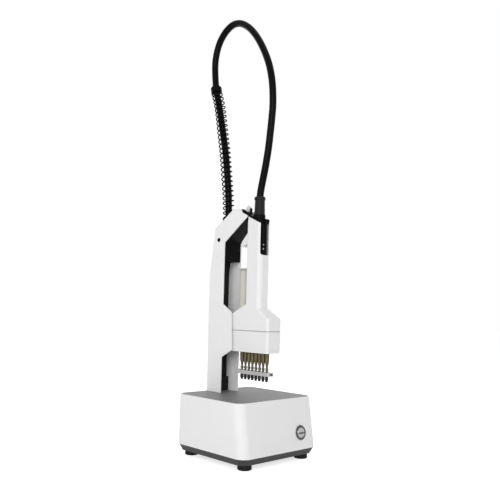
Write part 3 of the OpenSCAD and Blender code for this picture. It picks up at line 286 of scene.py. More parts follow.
BIT_STEEL = Finish("bit_steel", "steel", (0.03, 0.028, 0.027), 0.36, metallic=0.4, grain=Grain.TURNED,
                   grain_mm=0.35, relief_mm=0.006, specular=0.25)
POLISHED_STEEL = Finish("polished_steel", "steel", (0.86, 0.86, 0.86), 0.14, metallic=1.0, grain=Grain.DRAWN,
                        grain_mm=0.4, relief_mm=0.002, gloss_drift=0.03)
BUTTON_STEEL = Finish("button_steel", "button_metal", (0.42, 0.42, 0.42), 0.26, metallic=1.0,
                      grain=Grain.BRUSHED, grain_mm=0.5, relief_mm=0.004, gloss_drift=0.08)
DARK_CHROME = Finish("dark_chrome", "button_metal", (0.10, 0.10, 0.10), 0.18, metallic=1.0,
                     grain=Grain.TURNED, grain_mm=0.5, relief_mm=0.003)
MOTOR_CAN = Finish("motor_can", "motor_metal", (0.57, 0.555, 0.50), 0.5, grain=Grain.TURNED,
                   grain_mm=0.6, relief_mm=0.006, specular=0.12)
CAP_GREY = Finish("cap_grey", "dark_grey", (0.40, 0.39, 0.38), 0.5, grain_mm=0.5, specular=0.2)
AGED_BRONZE = Finish("aged_bronze", "brass", (0.12, 0.098, 0.056), 0.34, metallic=0.85, grain=Grain.TURNED,
                     grain_mm=0.4, relief_mm=0.008, drift_mm=9.0, colour_drift=0.35, gloss_drift=0.1)
BLASTED_ALLOY = Finish("blasted_alloy", "light_grey", (0.46, 0.445, 0.445), 0.45, metallic=0.5, grain_mm=0.3,
                       relief_mm=0.012)
KNOB_ALLOY = Finish("knob_alloy", "light_grey", (0.62, 0.62, 0.61), 0.35, metallic=0.6, grain=Grain.TURNED,
                    grain_mm=0.3, relief_mm=0.01)
BOARD_GREEN = Finish("board_green", "board", (0.02, 0.10, 0.05), 0.4, grain_mm=0.6)


def new_object(name: str, mesh: bpy.types.Mesh) -> bpy.types.Object:
    """Put a mesh in the scene as an object at the origin."""
    piece = bpy.data.objects.new(name, mesh)
    bpy.context.scene.collection.objects.link(piece)
    return piece


def bake_modifiers(piece: bpy.types.Object) -> None:
    """Turn a piece with its modifiers into a plain mesh.

    Args:
        piece: Object whose modifiers are applied and removed.
    """
    bpy.context.view_layer.update()
    graph = bpy.context.evaluated_depsgraph_get()
    mesh = bpy.data.meshes.new_from_object(piece.evaluated_get(graph), depsgraph=graph)
    piece.modifiers.clear()
    piece.data = mesh


def set_material(piece: bpy.types.Object, material: bpy.types.Material) -> None:
    """Give all faces of a mesh one material."""
    piece.data.materials.clear()
    piece.data.materials.append(material)
    for polygon in piece.data.polygons:
        polygon.material_index = 0


def shade(mesh: bpy.types.Mesh) -> None:
    """Shade a mesh smooth, apart from its sharp edges."""
    for polygon in mesh.polygons:
        polygon.use_smooth = True
    mesh.set_sharp_from_angle(angle=SHARP_ANGLE)


def soften(piece: bpy.types.Object, edge_mm: float) -> None:
    """Round the sharp edges of a piece.

    Args:
        piece: Object with a welded mesh.
        edge_mm: Width of the rounding in millimetres.
    """
    shade(piece.data)
    bevel = piece.modifiers.new("edges", "BEVEL")
    bevel.width = edge_mm * MM
    bevel.segments = EDGE_FACETS
    bevel.limit_method = "ANGLE"
    bevel.angle_limit = SHARP_ANGLE
    bevel.miter_outer = "MITER_ARC"
    bevel.use_clamp_overlap = True
    normals = piece.modifiers.new("normals", "WEIGHTED_NORMAL")
    normals.keep_sharp = True
    bake_modifiers(piece)


def welded_copy(node: str, above: float | None = None) -> bpy.types.Mesh:
    """Copy the mesh of a node, weld its loose triangles and join those that lie in one plane.

    Args:
        node: Name of the node.
        above: Height below which the copy is cut off and closed, if any.

    Returns:
        The welded mesh.
    """
    mesh = bpy.data.objects[node].data.copy()
    mesh.name = f"{node}_soft"
    mesh.materials.clear()
    work = bmesh.new()
    work.from_mesh(mesh)
    bmesh.ops.remove_doubles(work, verts=work.verts, dist=WELD_DISTANCE)
    if above is not None:
        parts = [*work.verts, *work.edges, *work.faces]
        cut = bmesh.ops.bisect_plane(work, geom=parts, plane_co=(0.0, 0.0, above),
                                     plane_no=(0.0, 0.0, 1.0), clear_inner=True)
        rim = [part for part in cut["geom_cut"] if isinstance(part, bmesh.types.BMEdge)]
        bmesh.ops.contextual_create(work, geom=rim)
        bmesh.ops.recalc_face_normals(work, faces=work.faces)
    bmesh.ops.dissolve_limit(work, angle_limit=FLAT_ANGLE, verts=work.verts, edges=work.edges)
    work.to_mesh(mesh)
    work.free()
    return mesh


def lathe(name: str, profile: Profile, place: Matrix, steps: int = 32) -> bpy.types.Object:
    """Turn a profile round an axis into a closed piece.

    Args:
        name: Name of the object.
        profile: Radius and height of each point from the foot up, with both ends on the axis.
        place: Where the axis stands in the frame.
        steps: Facets round the axis.

    Returns:
        The new object, at the origin with its place in its mesh.
    """
    work = bmesh.new()
    rings = []
    for radius, height in profile:
        count = steps if radius > 0 else 1
        turns = [FULL_TURN * i / steps for i in range(count)]
        rings.append([work.verts.new(place @ Vector((radius * math.cos(a), radius * math.sin(a), height)))
                      for a in turns])
    for low, high in zip(rings, rings[1:]):
        for i in range(steps):
            j = i + 1
            loop = [low[i % len(low)], low[j % len(low)], high[j % len(high)], high[i % len(high)]]
            work.faces.new(list(dict.fromkeys(loop)))
    bmesh.ops.recalc_face_normals(work, faces=work.faces)
    mesh = bpy.data.meshes.new(name)
    work.to_mesh(mesh)
    work.free()
    shade(mesh)
    return new_object(name, mesh)


def slab(name: str, outline: Profile, place: Matrix, thickness: float) -> bpy.types.Object:
    """Raise a flat outline into a plate.

    Args:
        name: Name of the object.
        outline: Corners of the plate in its own plane.
        place: Where the plane lies in the frame, with its Z as the way up.
        thickness: Height of the plate.

    Returns:
        The new object, at the origin with its place in its mesh.
    """
    work = bmesh.new()
    face = work.faces.new([work.verts.new((x, y, 0.0)) for x, y in outline])
    raised = bmesh.ops.extrude_face_region(work, geom=[face])["geom"]
    bmesh.ops.translate(work, vec=(0.0, 0.0, thickness),
                        verts=[part for part in raised if isinstance(part, bmesh.types.BMVert)])
    bmesh.ops.recalc_face_normals(work, faces=work.faces)
    bmesh.ops.transform(work, matrix=place, verts=work.verts)
    mesh = bpy.data.meshes.new(name)
    work.to_mesh(mesh)
    work.free()
    return new_object(name, mesh)


def facing(place: Vector, normal: Vector) -> Matrix:
    """Return the frame that stands at a place with its Z along a normal and its X level.

    Args:
        place: Origin of the frame.
        normal: Direction of its Z, not upright.

    Returns:
        The frame as a matrix.
    """
    z = normal.normalized()
    x = Vector((0.0, 0.0, 1.0)).cross(z).normalized()
    return Matrix.Translation(place) @ Matrix((x, z.cross(x), z)).transposed().to_4x4()


def furthest(node: str, normal: Vector) -> Vector:
    """Return the middle of the points of a node that lie furthest along a normal.

    Args:
        node: Name of the node.
        normal: Direction to look in.

    Returns:
        The mean of those points.
    """
    points = [vertex.co for vertex in bpy.data.objects[node].data.vertices]
    top = max(point.dot(normal) for point in points)
    found = [point for point in points if point.dot(normal) > top - TOUCH_DISTANCE]
    return sum(found, Vector()) / len(found)


def polyline(name: str, points: list[Vector]) -> bpy.types.Object:
    """Make a mesh of edges through points.

    Args:
        name: Name of the object.
        points: Points in order.

    Returns:
        The new object.
    """
    mesh = bpy.data.meshes.new(name)
    mesh.from_pydata([tuple(p) for p in points], [(i, i + 1) for i in range(len(points) - 1)], [])
    return new_object(name, mesh)


class NodeGroup:
    """Short-hand for building a Geometry Nodes tree."""

    def __init__(self, name: str) -> None:
        """Start a tree with one geometry input and one geometry output.

        Args:
            name: Name of the tree.
        """
        self.tree = bpy.data.node_groups.new(name, "GeometryNodeTree")
        self.tree.interface.new_socket("Geometry", in_out="INPUT", socket_type="NodeSocketGeometry")
        self.tree.interface.new_socket("Geometry", in_out="OUTPUT", socket_type="NodeSocketGeometry")
        self.source = self.tree.nodes.new("NodeGroupInput")
        self.result = self.tree.nodes.new("NodeGroupOutput")

    def socket(self, name: str, kind: str) -> bpy.types.NodeSocket:
        """Add a named input to the tree.

        Args:
            name: Name of the input.
            kind: Socket type, such as NodeSocketFloat.

        Returns:
            The socket on the group's input node.
        """
        self.tree.interface.new_socket(name, in_out="INPUT", socket_type=kind)
        return self.source.outputs[name]

    def add(self, kind: str, operation: str | None = None, **links: object) -> bpy.types.Node:
        """Add a node and feed its inputs.

        Args:
            kind: Blender's name of the node type.
            operation: Operation of a math node.
            **links: Sockets or values by input name, or by number as i0, i1 and so on.

        Returns:
            The new node.
        """
        node = self.tree.nodes.new(kind)
        if operation:
            node.operation = operation
        for key, value in links.items():
            target = node.inputs[int(key[1:])] if key[1:].isdigit() else node.inputs[key.replace("_", " ")]
            if isinstance(value, bpy.types.NodeSocket):
                self.tree.links.new(value, target)
            else:
                target.default_value = value
        return node

    def tube(self, curve: bpy.types.NodeSocket, radius: bpy.types.NodeSocket,
             sides: bpy.types.NodeSocket | int) -> bpy.types.NodeSocket:
        """Add a smooth round tube with closed ends.

        Args:
            curve: Line that the tube follows.
            radius: Radius of the tube.
            sides: Facets round the tube.

        Returns:
            The geometry of the tube.
        """
        profile = self.add("GeometryNodeCurvePrimitiveCircle", Resolution=sides, Radius=radius)
        tube = self.add("GeometryNodeCurveToMesh", Curve=curve, i1=profile.outputs["Curve"], Fill_Caps=True)
        return self.add("GeometryNodeSetShadeSmooth", i0=tube.outputs[0]).outputs[0]

    def finish(self, geometry: bpy.types.NodeSocket, material: bpy.types.NodeSocket) -> None:
        """End the tree in real geometry with a material.

        Args:
            geometry: Geometry of the last node.
            material: Material input of the tree.
        """
        real = self.add("GeometryNodeRealizeInstances", Geometry=geometry)
        painted = self.add("GeometryNodeSetMaterial", Geometry=real.outputs[0], Material=material)
        self.tree.links.new(painted.outputs[0], self.result.inputs[0])

    def apply(self, piece: bpy.types.Object, **values: object) -> None:
        """Run the tree on a piece and keep the result as a plain mesh.

        Args:
            piece: Object that the tree works on.
            **values: Values of the named inputs, with underscores for spaces.
        """
        modifier = piece.modifiers.new(self.tree.name, "NODES")
        modifier.node_group = self.tree
        for item in self.tree.interface.items_tree:
            key = item.name.replace(" ", "_")
            if item.item_type == "SOCKET" and item.in_out == "INPUT" and key in values:
                modifier[item.identifier] = values[key]
        bake_modifiers(piece)


@cache
def tube_tree() -> NodeGroup:
    """Build the tree that makes a round tube along a line."""
    group = NodeGroup("tube_along_line")
    radius = group.socket("Radius", "NodeSocketFloat")
    sides = group.socket("Sides", "NodeSocketInt")
    material = group.socket("Material", "NodeSocketMaterial")
    curve = group.add("GeometryNodeMeshToCurve", Mesh=group.source.outputs["Geometry"])
    group.finish(group.tube(curve.outputs[0], radius, sides), material)
    return group


@cache
def coil_tree() -> NodeGroup:
    """Build the tree that winds a wire round a line."""
    group = NodeGroup("coil_round_line")
    turns = group.socket("Turns", "NodeSocketFloat")
    coil = group.socket("Coil Radius", "NodeSocketFloat")
    foot = group.socket("Foot Radius", "NodeSocketFloat")
    flare = group.socket("Foot Share", "NodeSocketFloat")
    wire = group.socket("Wire Radius", "NodeSocketFloat")
    samples = group.socket("Samples", "NodeSocketInt")
    material = group.socket("Material", "NodeSocketMaterial")
    curve = group.add("GeometryNodeMeshToCurve", Mesh=group.source.outputs["Geometry"])
    even = group.add("GeometryNodeResampleCurve", Curve=curve.outputs[0], Count=samples)
    along = group.add("GeometryNodeSplineParameter")
    turned = group.add("ShaderNodeMath", "MULTIPLY", i0=along.outputs["Factor"], i1=turns)
    angle = group.add("ShaderNodeMath", "MULTIPLY", i0=turned.outputs[0], i1=FULL_TURN)
    reach = group.add("ShaderNodeMapRange", Value=along.outputs["Factor"], From_Min=0.0, From_Max=flare,
                      To_Min=foot, To_Max=coil)
    normal = group.add("GeometryNodeInputNormal").outputs["Normal"]
    tangent = group.add("GeometryNodeInputTangent").outputs["Tangent"]
    side = group.add("ShaderNodeVectorMath", "CROSS_PRODUCT", i0=tangent, i1=normal).outputs[0]
    cosine = group.add("ShaderNodeMath", "COSINE", i0=angle.outputs[0]).outputs[0]
    sine = group.add("ShaderNodeMath", "SINE", i0=angle.outputs[0]).outputs[0]
    out = group.add("ShaderNodeVectorMath", "SCALE", i0=normal, Scale=cosine).outputs[0]
    over = group.add("ShaderNodeVectorMath", "SCALE", i0=side, Scale=sine).outputs[0]
    both = group.add("ShaderNodeVectorMath", "ADD", i0=out, i1=over).outputs[0]
    offset = group.add("ShaderNodeVectorMath", "SCALE", i0=both, Scale=reach.outputs["Result"]).outputs[0]
    wound = group.add("GeometryNodeSetPosition", Geometry=even.outputs[0], Offset=offset)
    group.finish(group.tube(wound.outputs[0], wire, WIRE_FACETS), material)
    return group


@cache
def rib_tree() -> NodeGroup:
    """Build the tree that sets upright ribs round a turned piece."""
    group = NodeGroup("ribs_round_piece")
    count = group.socket("Ribs", "NodeSocketInt")
    radius = group.socket("Ring Radius", "NodeSocketFloat")
    size = group.socket("Rib Size", "NodeSocketVector")
    place = group.socket("Place", "NodeSocketVector")
    material = group.socket("Material", "NodeSocketMaterial")
    ring = group.add("GeometryNodeMeshCircle", Vertices=count, Radius=radius)
    rib = group.add("GeometryNodeMeshCube", Size=size)
    index = group.add("GeometryNodeInputIndex").outputs[0]
    share = group.add("ShaderNodeMath", "DIVIDE", i0=index, i1=count).outputs[0]
    angle = group.add("ShaderNodeMath", "MULTIPLY", i0=share, i1=FULL_TURN).outputs[0]
    turn = group.add("ShaderNodeCombineXYZ", Z=angle).outputs[0]
    ribs = group.add("GeometryNodeInstanceOnPoints", Points=ring.outputs[0], Instance=rib.outputs[0],
                     Rotation=turn)
    moved = group.add("GeometryNodeTransform", Geometry=ribs.outputs[0], Translation=place)
    joined = group.add("GeometryNodeJoinGeometry")
    group.tree.links.new(group.source.outputs["Geometry"], joined.inputs[0])
    group.tree.links.new(moved.outputs[0], joined.inputs[0])
    group.finish(joined.outputs[0], material)
    return group


@cache
def band_tree() -> NodeGroup:
    """Build the tree that lays a flat band round a rounded rectangle."""
    group = NodeGroup("band_round_case")
    width = group.socket("Width", "NodeSocketFloat")
    depth = group.socket("Depth", "NodeSocketFloat")
    corner = group.socket("Corner Radius", "NodeSocketFloat")
    thick = group.socket("Thickness", "NodeSocketFloat")
    height = group.socket("Height", "NodeSocketFloat")
    place = group.socket("Place", "NodeSocketVector")
    material = group.socket("Material", "NodeSocketMaterial")
    frame = group.add("GeometryNodeCurvePrimitiveQuadrilateral", Width=width, Height=depth)
    rounded = group.add("GeometryNodeFilletCurve", Curve=frame.outputs[0], Radius=corner)
    rounded.mode = "POLY"
    rounded.inputs["Count"].default_value = CORNER_FACETS
    profile = group.add("GeometryNodeCurvePrimitiveQuadrilateral", Width=thick, Height=height)
    band = group.add("GeometryNodeCurveToMesh", Curve=rounded.outputs[0], i1=profile.outputs[0])
    moved = group.add("GeometryNodeTransform", Geometry=band.outputs[0], Translation=place)
    group.finish(moved.outputs[0], material)
    return group


@dataclass
class SubAssembly:
    """Base of the sub-assemblies: dresses the nodes of one body."""

    body: str = Body.STAND.value

    def build(self) -> None:
        """Make and dress the pieces of the sub-assembly."""
        raise NotImplementedError

    def keep(self, piece: bpy.types.Object, finish: Finish, *nodes: str) -> bpy.types.Object:
        """Put a finished piece on the body and hide the nodes that it stands in for.

        Args:
            piece: Object with a plain mesh.
            finish: Its finish.
            *nodes: Nodes that it replaces.

        Returns:
            The same object.
        """
        set_material(piece, finish.material())
        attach(piece, self.body)
        if nodes:
            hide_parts(*nodes)
        LOG.info("%s: %d faces, %s", piece.name, len(piece.data.polygons), finish.name)
        return piece

    def dress(self, node: str, finish: Finish, edge_mm: float) -> bpy.types.Object:
        """Stand a copy with rounded edges in for a node.

        Args:
            node: Name of the node.
            finish: Its finish.
            edge_mm: Width of the rounding in millimetres.

        Returns:
            The new object.
        """
        piece = new_object(f"{node}_soft", welded_copy(node))
        soften(piece, edge_mm)
        return self.keep(piece, finish, node)

    def paint(self, finish: Finish, *nodes: str) -> None:
        """Give closed-in nodes a finish and leave their shape."""
        for node in nodes:
            set_material(bpy.data.objects[node], finish.material())
            LOG.info("%s: node kept, %s", node, finish.name)


@dataclass
class CableRun(SubAssembly):
    """The cable that loops from the tower to the handpiece, with the coil spring round its foot."""

    diameter: float = 13.2 * MM
    sides: int = 28
    stretch_steps: int = 8
    blend_start: Point = (0.0, 0.062, 0.8)
    blend_end: Point = (0.0, -0.016, 0.8)
    coil_radius: float = 10.0 * MM
    coil_foot_radius: float = 8.9 * MM
    coil_foot_share: float = 0.06
    wire_radius: float = 1.25 * MM
    turns: float = 27.5
    turn_samples: int = 24
    coil_start: float = 0.56
    coil_end: float = 9.0
    coil_steps: int = 80
    lean_back: float = 1.9 * MM
    lean_front: float = 1.7 * MM
    lean_turn: float = 0.7
    collar_at: float = 9.4
    collar_reach: float = 0.05
    collar_radius: float = 10.9 * MM
    collar_profile: Profile = field(default_factory=lambda: [
        (0.0, -8.0), (0.92, -8.0), (1.0, -7.2), (1.0, 2.2), (0.94, 2.9), (0.74, 3.0),
        (0.68, 7.0), (0.0, 7.0)])
    route: Profile = field(default_factory=lambda: [
        (64, 410), (64, 440), (66, 475), (70, 506), (73.5, 531), (79, 562), (85.5, 590),
        (94, 626), (103, 661), (110, 684), (114.5, 706), (117.5, 740), (114, 766), (104, 788),
        (87, 804), (67, 811), (47, 808), (28, 797), (9.5, 780), (-9.5, 755), (-26, 726),
        (-37, 700), (-44, 673), (-47, 650), (-48, 626), (-46.5, 604), (-44, 582),
        (-39.5, 548), (-33, 515), (-26, 487), (-22, 470), (-20.5, 458), (-20.5, 447), (-20.5, 436)])

    def at(self, t: float) -> Vector:
        """Return the point of the route at t, counted in stretches between its points."""
        last = len(self.route) - 1
        i = min(int(t), last - 1)
        u = t - i
        p = [Vector((0.0, *self.route[min(max(i + k, 0), last)])) for k in (-1, 0, 1, 2)]
        point = (2 * p[1] + (p[2] - p[0]) * u + (2 * p[0] - 5 * p[1] + 4 * p[2] - p[3]) * u * u
                 + (3 * p[1] - p[0] - 3 * p[2] + p[3]) * u * u * u)
        return 0.5 * MM * point

    def line(self, start: float, end: float, steps: int) -> list[Vector]:
        """Sample the route.

        Args:
            start: First place on the route.
            end: Last place on the route.
            steps: Number of stretches between the samples.

        Returns:
            The sampled points.
        """
        return [self.at(start + (end - start) * i / steps) for i in range(steps + 1)]

    def lean(self, w: float) -> float:
        """Return how far the coil hangs to the back of the cable at share w of its length."""
        rest = 1.0 - self.lean_turn
        back = self.lean_back * math.sin(math.pi * min(w / self.lean_turn, 1.0))
        return back - self.lean_front * math.sin(math.pi * max((w - self.lean_turn) / rest, 0.0))

    def coil(self) -> bpy.types.Object:
        """Wind the coil spring round the foot of the cable.

        Returns:
            The new object.
        """
        path = self.line(self.coil_start, self.coil_end, self.coil_steps)
        shifted = [p + Vector((0.0, self.lean(i / self.coil_steps), 0.0)) for i, p in enumerate(path)]
        coil = polyline("cable_coil", shifted)
        coil_tree().apply(coil, Turns=self.turns, Coil_Radius=self.coil_radius,
                          Foot_Radius=self.coil_foot_radius, Foot_Share=self.coil_foot_share,
                          Wire_Radius=self.wire_radius, Samples=int(self.turn_samples * self.turns),
                          Material=COIL_WIRE.material())
        return self.keep(coil, COIL_WIRE, "cable_spring")

    def collar(self) -> bpy.types.Object:
        """Turn the collar that clamps the top of the coil to the cable.

        Returns:
            The new object.
        """
        along = self.at(self.collar_at + self.collar_reach) - self.at(self.collar_at - self.collar_reach)
        profile = [(share * self.collar_radius, height * MM) for share, height in self.collar_profile]
        collar = lathe("spring_collar_turned", profile, facing(self.at(self.collar_at), along))
        return self.keep(collar, BLACK_PLASTIC, "spring_collar")

    def build(self) -> None:
        stretches = len(self.route) - 1
        path = self.line(0.0, stretches, self.stretch_steps * stretches)
        cable = polyline("cable_jacketed", path)
        tube_tree().apply(cable, Radius=self.diameter / 2, Sides=self.sides, Material=CABLE_JACKET.material())
        coil = self.coil()
        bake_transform(cable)
        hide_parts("cable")
        collar = self.collar()


@dataclass
class Base(SubAssembly):
    """The white base with its grey top plate, dark tray, feet, inlet and inner boards."""

    housing_edge: float = 0.7
    plate_edge: float = 0.4
    tray_edge: float = 0.5
    foot_edge: float = 0.5
    screw_edge: float = 0.15
    inlet_edge: float = 0.2
    bezel_edge: float = 0.25
    flush_limit: float = 0.05 * MM

    def flush_housing(self) -> bpy.types.Mesh:
        """Copy the housing and press the tips of its inner ribs flush with the wall.

        Returns:
            The welded mesh.
        """
        mesh = welded_copy("base_housing")
        low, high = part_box("base_housing")
        wall = bmesh.new()
        for vert in mesh.vertices:
            if min(vert.co.z - low.z, high.z - vert.co.z) < self.flush_limit:
                wall.verts.new(vert.co)
        bmesh.ops.convex_hull(wall, input=wall.verts)
        tree = BVHTree.FromBMesh(wall)
        wall.free()
        for vert in mesh.vertices:
            spot, normal, _, _ = tree.find_nearest(vert.co)
            rise = (vert.co - spot).dot(normal)
            if rise > self.flush_limit:
                LOG.info("base_housing: rib tip %.2f mm proud, pressed flush", rise / MM)
                vert.co = spot
        return mesh

    def build(self) -> None:
        """Dress the base from the feet up."""
        self.dress("rubber_feet", FOOT_RUBBER, self.foot_edge)
        self.dress("foot_screws", TURNED_STEEL, self.screw_edge)
        self.dress("bottom_tray", TRAY_GREY, self.tray_edge)
        housing = new_object("base_housing_soft", self.flush_housing())
        soften(housing, self.housing_edge)
        self.keep(housing, WHITE_PAINT, "base_housing")
        self.dress("top_plate", PLATE_GREY, self.plate_edge)
        self.dress("dc_inlet", FOOT_RUBBER, self.inlet_edge)
        self.dress("button_bezel", DARK_CHROME, self.bezel_edge)
        self.paint(BOARD_GREEN, "control_board")
        self.paint(TURNED_STEEL, "board_standoffs", "button_nut")
        self.paint(TRAY_GREY, "power_supply")


@dataclass
class PowerButton(SubAssembly):
    """The pressed disc of the power button, with a dark band across it that is a painted reflection."""

    body: str = Body.POWER_BUTTON.value
    outward: Vector = Vector((0.0, -0.988638, 0.150319))
    radius: float = 7.7 * MM
    disc_edge: float = 0.3
    reflection_band_edge: float = 0.1
    reflection_band_facets: int = 8
    band_height: float = 3.0 * MM
    reflection_band_proud: float = 0.15 * MM
    band_depth: float = 0.6 * MM
    reflection_band_fall: float = 0.8 * MM

    def band(self) -> None:
        """Lay the dark band across the disc, a painted reflection raised as a thin grey inlay."""
        bend = math.asin(self.band_height / 2 / self.radius)
        turns = [bend * (2 * i / self.reflection_band_facets - 1) for i in range(self.reflection_band_facets + 1)]
        outline = [(side * self.radius * math.cos(a), side * self.radius * math.sin(a))
                   for side in (1, -1) for a in turns]
        sunk = furthest("power_button", self.outward) - self.outward * (self.band_depth - self.reflection_band_proud)
        sunk.z -= self.reflection_band_fall
        # The band is a painted reflection, laid as a thin grey slab standing slightly proud of the disc.
        band = slab("button_band", outline, facing(sunk, self.outward), self.band_depth)
        soften(band, self.reflection_band_edge)
        self.keep(band, PAINTED_REFLECTION_GREY)

    def build(self) -> None:
        """Dress the disc and lay its painted reflection band."""
        self.dress("power_button", BUTTON_STEEL, self.disc_edge)
        self.band()


@dataclass
class Tower(SubAssembly):
    """The folded white tower with its black liner, hood, foot block and spring socket."""

    sheet_edge: float = 0.35
    moulded_edge: float = 0.4
    screw_edge: float = 0.15
    socket_edge: float = 0.3

    def build(self) -> None:
        """Dress the tower."""
        self.dress("tower_shell", WHITE_PAINT, self.sheet_edge)
        self.dress("tower_liner", LINER_BLACK, self.moulded_edge)
        self.dress("neck_hood", BLACK_PLASTIC, self.moulded_edge)
        self.dress("foot_block", LINER_BLACK, self.moulded_edge)
        self.dress("cheek_screws", BLACK_PLASTIC, self.screw_edge)
        self.dress("spring_socket", BLACK_PLASTIC, self.socket_edge)
        self.paint(TURNED_STEEL, "tower_bolts")


@dataclass
class Handpiece(SubAssembly):
    """The white handpiece: gear case, grip, black cap and gland, motor and spindle sleeves."""

    body: str = Body.HANDPIECE.value
    shell_edge: float = 0.6
    cap_edge: float = 0.35
    gland_edge: float = 0.3
    turned_edge: float = 0.2
    motor_cap_edge: float = 0.4
    screw_edge: float = 0.12
    corner_radius: float = 5.5 * MM
    seam_inset: float = 0.55 * MM
    seam_height: float = 1.3 * MM
    seam_thickness: float = 0.6 * MM
    seam_gap: float = 0.1 * MM

    def seam(self) -> None:
        """Lay the grey seal in the groove between gear case and grip."""
        low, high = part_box("gear_case")
        inset = 2 * self.seam_inset
        size = high - low
        groove = (low + high) / 2
        groove.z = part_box("grip_shell")[0].z - self.seam_height / 2 - self.seam_gap
        band = polyline("case_seal", [low, high])
        band_tree().apply(band, Width=size.x - inset, Depth=size.y - inset, Place=groove,
                          Corner_Radius=self.corner_radius - self.seam_inset,
                          Thickness=self.seam_thickness, Height=self.seam_height,
                          Material=SEAM_GREY.material())
        self.keep(band, SEAM_GREY)

    def build(self) -> None:
        """Dress the handpiece."""
        self.dress("gear_case", WHITE_PLASTIC, self.shell_edge)
        self.dress("grip_shell", WHITE_PLASTIC, self.shell_edge)
        self.dress("finger_rest", WHITE_PLASTIC, self.shell_edge)
        self.dress("top_cap", BLACK_PLASTIC, self.cap_edge)
        self.dress("cable_gland", GLAND_RUBBER, self.gland_edge)
        self.dress("trigger_pin", BLACK_PLASTIC, self.turned_edge)
        self.dress("motor", MOTOR_CAN, self.turned_edge)
        self.dress("motor_cap", CAP_GREY, self.motor_cap_edge)
        self.dress("spindle_sleeves", AGED_BRONZE, self.turned_edge)
        self.dress("case_screws", TURNED_STEEL, self.screw_edge)
        self.seam()
        self.paint(BLACK_PLASTIC, "gland_nut")
        self.paint(TRAY_GREY, "trigger_switch")
        self.paint(TURNED_STEEL, "bearing_plate")


@dataclass
class Trigger(SubAssembly):
    """The black trigger in the front of the grip, with two small studs near its lower end."""

    body: str = Body.TRIGGER.value
    edge: float = 0.6
    front_radius: float = 13.0 * MM
    stud_facets: int = 20
    stud_radius: float = 1.2 * MM
    stud_rise: float = 0.5 * MM
    stud_root: float = 1.0 * MM
    stud_heights: tuple[float, float] = (364.0 * MM, 371.5 * MM)
    stud_side: float = -3.8 * MM

    def studs(self) -> None:
        """Set the two domed studs into the round front of the trigger."""
        points = [vertex.co for vertex in bpy.data.objects["trigger"].data.vertices]
        centre = min(p.y for p in points if p.z < self.stud_heights[1]) + self.front_radius
        turn = math.asin(self.stud_side / self.front_radius)
        outward = Vector((math.sin(turn), -math.cos(turn), 0.0))
        r, rise, root = self.stud_radius, self.stud_rise, -self.stud_root
        profile = [(0.0, root), (r, root), (r, 0.3 * rise), (0.75 * r, 0.8 * rise), (0.0, rise)]
        for number, height in enumerate(self.stud_heights, 1):
            place = Vector((0.0, centre, height)) + outward * self.front_radius
            stud = lathe(f"trigger_stud_{number}", profile, facing(place, outward), self.stud_facets)
            self.keep(stud, TURNED_STEEL)

    def build(self) -> None:
        """Dress the trigger and set its studs."""
        self.dress("trigger", TRIGGER_BLACK, self.edge)
        self.studs()


@dataclass
class TorqueKnob(SubAssembly):
    """The fluted torque knob on the hanging tongue."""

    body: str = Body.KNOB.value
    edge: float = 0.2

    def build(self) -> None:
        """Dress the knob."""
        self.dress("torque_knob", KNOB_ALLOY, self.edge)


@dataclass
class Spindle(SubAssembly):
    """One of the eight spindles: a steel shaft with a collet, and a dark ribbed bit at its foot."""

    number: int = 1
    facets: int = 24
    shaft_edge: float = 0.12
    split_rise: float = 1.0 * MM
    bit_radius: float = 2.7 * MM
    bit_chamfer: float = 0.7 * MM
    nose_radius: float = 2.4 * MM
    nose_length: float = 2.8 * MM
    nose_chamfer: float = 0.4 * MM
    collet_radius: float = 3.3 * MM
    collet_length: float = 7.0 * MM
    collet_band: float = 0.55 * MM
    collet_foot_radius: float = 2.15 * MM
    collet_foot_chamfer: float = 0.05 * MM
    collet_foot_height: float = 0.3 * MM
    collet_gap: float = 0.05 * MM
    ribs: int = 6
    rib_width: float = 0.9 * MM
    rib_depth: float = 0.55 * MM

    def build(self) -> None:
        """Make the shaft, the collet and the bit."""
        node = f"spindle_{self.number}"
        self.body = node
        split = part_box("stripper_bar")[0].z + self.split_rise
        shaft = new_object(f"{node}_shaft", welded_copy(node, above=split))
        soften(shaft, self.shaft_edge)
        self.keep(shaft, SHAFT_STEEL, node)
        self.collet(node)
        self.bit(node, split)

    def collet(self, node: str) -> None:
        """Turn the tapered collet under the sleeve.

        Args:
            node: Name of the spindle's node.
        """
        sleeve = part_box("spindle_sleeves")[0].z
        foot, top = sleeve - self.collet_length, sleeve - self.collet_gap
        narrow, wide = self.collet_foot_radius, self.collet_radius
        profile = [(0.0, foot), (narrow, foot),
                   (narrow + self.collet_foot_chamfer, foot + self.collet_foot_height),
                   (wide, top - self.collet_band), (wide, top), (0.0, top)]
        collet = lathe(f"{node}_collet", profile, Matrix.Translation(self.axis()), self.facets)
        self.keep(collet, AGED_BRONZE)

    def bit(self, node: str, split: float) -> None:
        """Turn the bit with its nose and set its ribs.

        Args:
            node: Name of the spindle's node.
            split: Height where the shaft begins.
        """
        axis = self.axis()
        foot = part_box(node)[0].z
        tip = foot - self.nose_length
        profile = [(0.0, tip), (self.nose_radius - self.nose_chamfer, tip),
                   (self.nose_radius, tip + self.nose_chamfer), (self.nose_radius, foot),
                   (self.bit_radius, foot + self.bit_chamfer), (self.bit_radius, split), (0.0, split)]
        bit = lathe(f"{node}_bit", profile, Matrix.Translation(axis), self.facets)
        tall = split - foot - self.bit_chamfer
        rib_tree().apply(bit, Ribs=self.ribs, Ring_Radius=self.bit_radius,
                         Rib_Size=Vector((self.rib_depth, self.rib_width, tall)),
                         Place=axis + Vector((0.0, 0.0, split - tall / 2)), Material=BIT_STEEL.material())
        self.keep(bit, BIT_STEEL, node)

    def axis(self) -> Vector:
        """Return the foot of the spindle's axis at height zero."""
        low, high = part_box(f"spindle_{self.number}")
        return Vector((0.0, (low.y + high.y) / 2, 0.0))


